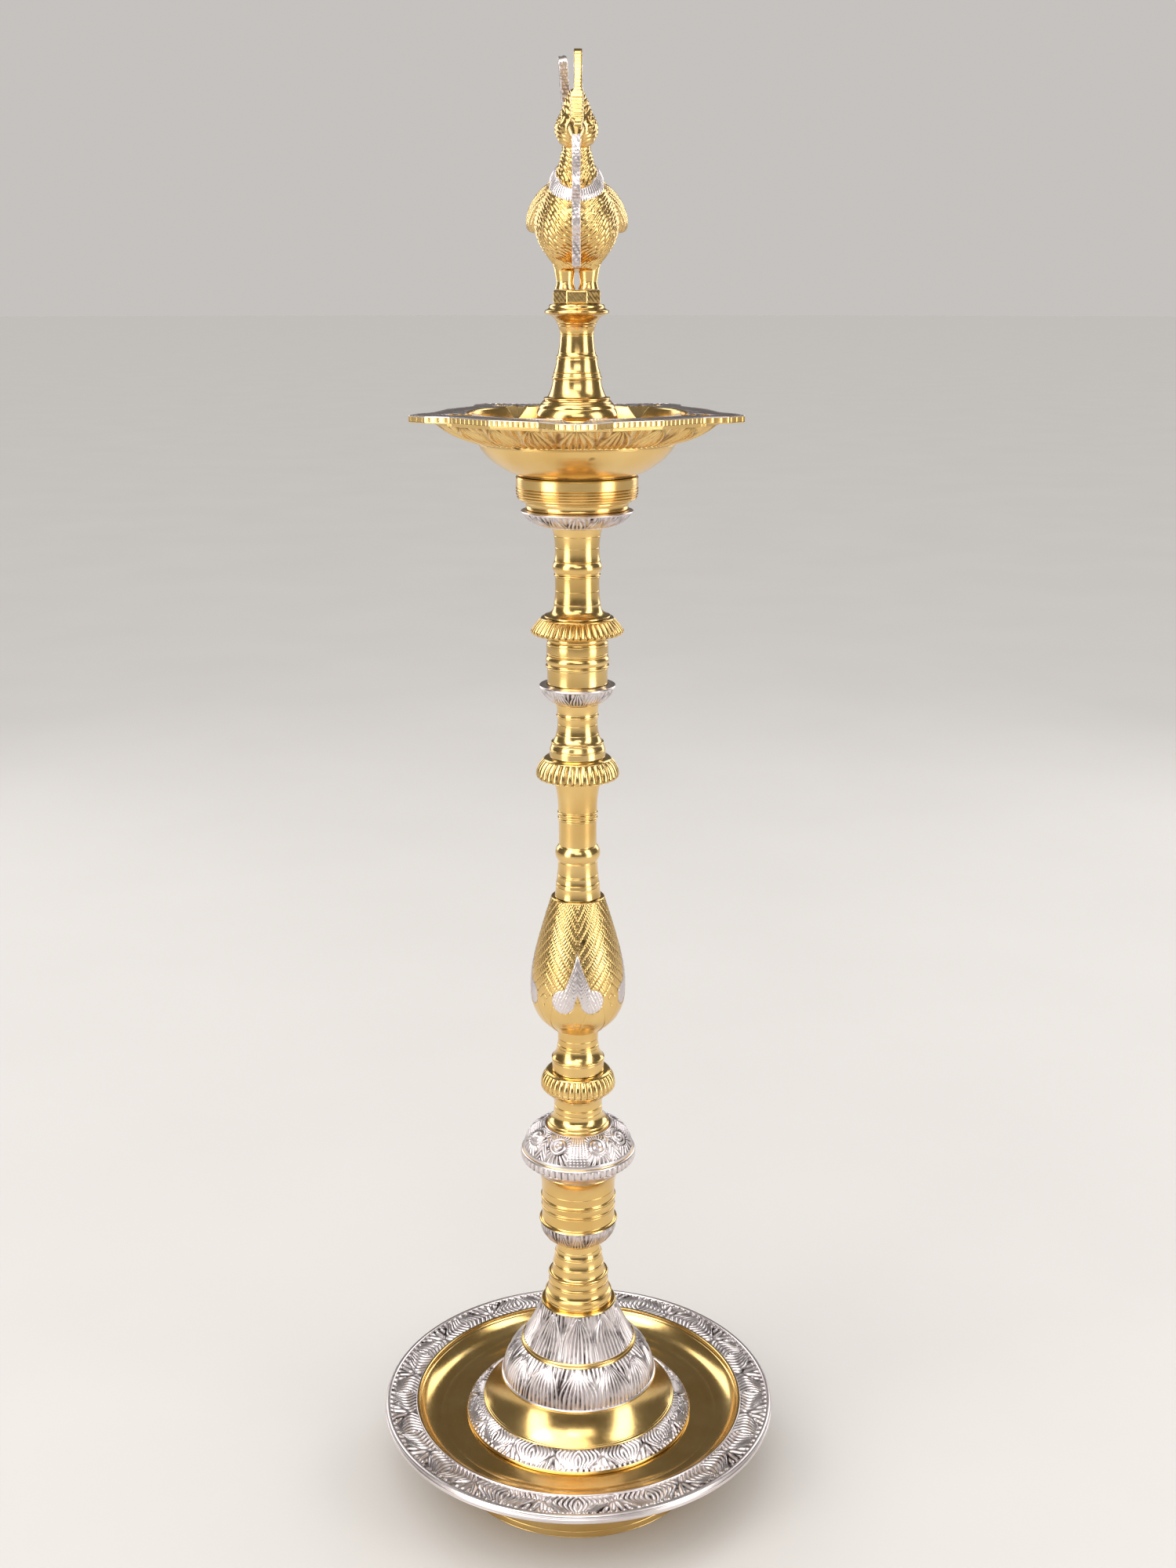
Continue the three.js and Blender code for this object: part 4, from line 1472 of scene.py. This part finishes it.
# ---- floor, light, camera ----
def floor_material():
    material, add = new_material("pale_floor")
    cloud = noise(add, add("ShaderNodeTexCoord").outputs["Object"], 3.0, 4)
    base = mix_color(add, cloud, (0.36, 0.345, 0.33, 1), (0.39, 0.375, 0.36, 1))
    shader = add("ShaderNodeBsdfPrincipled", inputs={"Base Color": base, "Roughness": 0.7})
    add("ShaderNodeOutputMaterial", inputs={"Surface": shader.outputs[0]})
    return material


FLOOR_RADIUS = 60  # far enough for its edge to be the horizon
bpy.ops.mesh.primitive_circle_add(vertices=96, radius=FLOOR_RADIUS, fill_type="NGON")
floor = bpy.context.object
floor.name = "floor"
floor.data.materials.append(floor_material())

bpy.context.scene.view_settings.view_transform = "Standard"


def world():
    """A pale studio: an even backdrop, a bright room for the floor and a dim one for the brass."""
    made = bpy.data.worlds.new("studio")
    bpy.context.scene.world = made
    made.use_nodes = True
    tree = made.node_tree
    tree.nodes.clear()

    def background(color, strength):
        node = tree.nodes.new("ShaderNodeBackground")
        node.inputs["Color"].default_value = color
        node.inputs["Strength"].default_value = strength
        return node

    def choose(which, otherwise, chosen):
        mix = tree.nodes.new("ShaderNodeMixShader")
        tree.links.new(path.outputs[which], mix.inputs[0])
        tree.links.new(otherwise.outputs[0], mix.inputs[1])
        tree.links.new(chosen.outputs[0], mix.inputs[2])
        return mix

    path = tree.nodes.new("ShaderNodeLightPath")
    room = background((0.62, 0.57, 0.52, 1), 0.22)
    above_floor = background((0.62, 0.61, 0.60, 1), 2.05)
    backdrop = background((0.56, 0.54, 0.52, 1), 1.0)
    light = choose("Is Diffuse Ray", room, above_floor)
    output = tree.nodes.new("ShaderNodeOutputWorld")
    tree.links.new(choose("Is Camera Ray", light, backdrop).outputs[0], output.inputs[0])


world()


AIM = (0, 0, 0.42)  # the middle of the lamp


def softbox(name, at, size, power, color=(1, 1, 1)):
    """A lit rectangle that faces the lamp, its size in metres and its power in watts."""
    light = bpy.data.lights.new(name, "AREA")
    light.shape = "RECTANGLE"
    light.size, light.size_y = size
    light.energy = power
    light.color = color
    obj = bpy.data.objects.new(name, light)
    obj.location = at
    obj.rotation_euler = (Vector(AIM) - Vector(at)).to_track_quat("-Z", "Y").to_euler()
    bpy.context.scene.collection.objects.link(obj)


softbox("key_left", (-1.5, -1.1, 1.1), (0.9, 2.0), 22, color=(1, 0.97, 0.93))
softbox("fill_right", (1.6, -0.9, 1.0), (0.8, 2.0), 19, color=(1, 0.98, 0.96))
softbox("front", (0.1, -2.4, 1.9), (1.4, 0.7), 10)
softbox("top", (0.1, -0.2, 2.4), (1.4, 1.4), 7)
softbox("rear_left", (-1.3, 1.4, 1.2), (0.7, 1.6), 10)
softbox("rear_right", (1.3, 1.5, 1.2), (0.7, 1.6), 10)

sun = bpy.data.objects.new("sky", bpy.data.lights.new("sky", "SUN"))
sun.data.energy = 1.5
sun.data.angle = math.radians(50)
sun.rotation_euler = (math.radians(28), math.radians(-18), 0)
bpy.context.scene.collection.objects.link(sun)

camera_data = bpy.data.cameras.new("camera")
camera_data.lens = LENS
camera_data.sensor_width = 36
camera = bpy.data.objects.new("camera", camera_data)
camera.location = (CAMERA_SIDE, -CAMERA_DISTANCE, CAMERA_HEIGHT)
camera.rotation_euler = (math.radians(90) - CAMERA_PITCH, 0, 0)
bpy.context.scene.collection.objects.link(camera)
bpy.context.scene.camera = camera
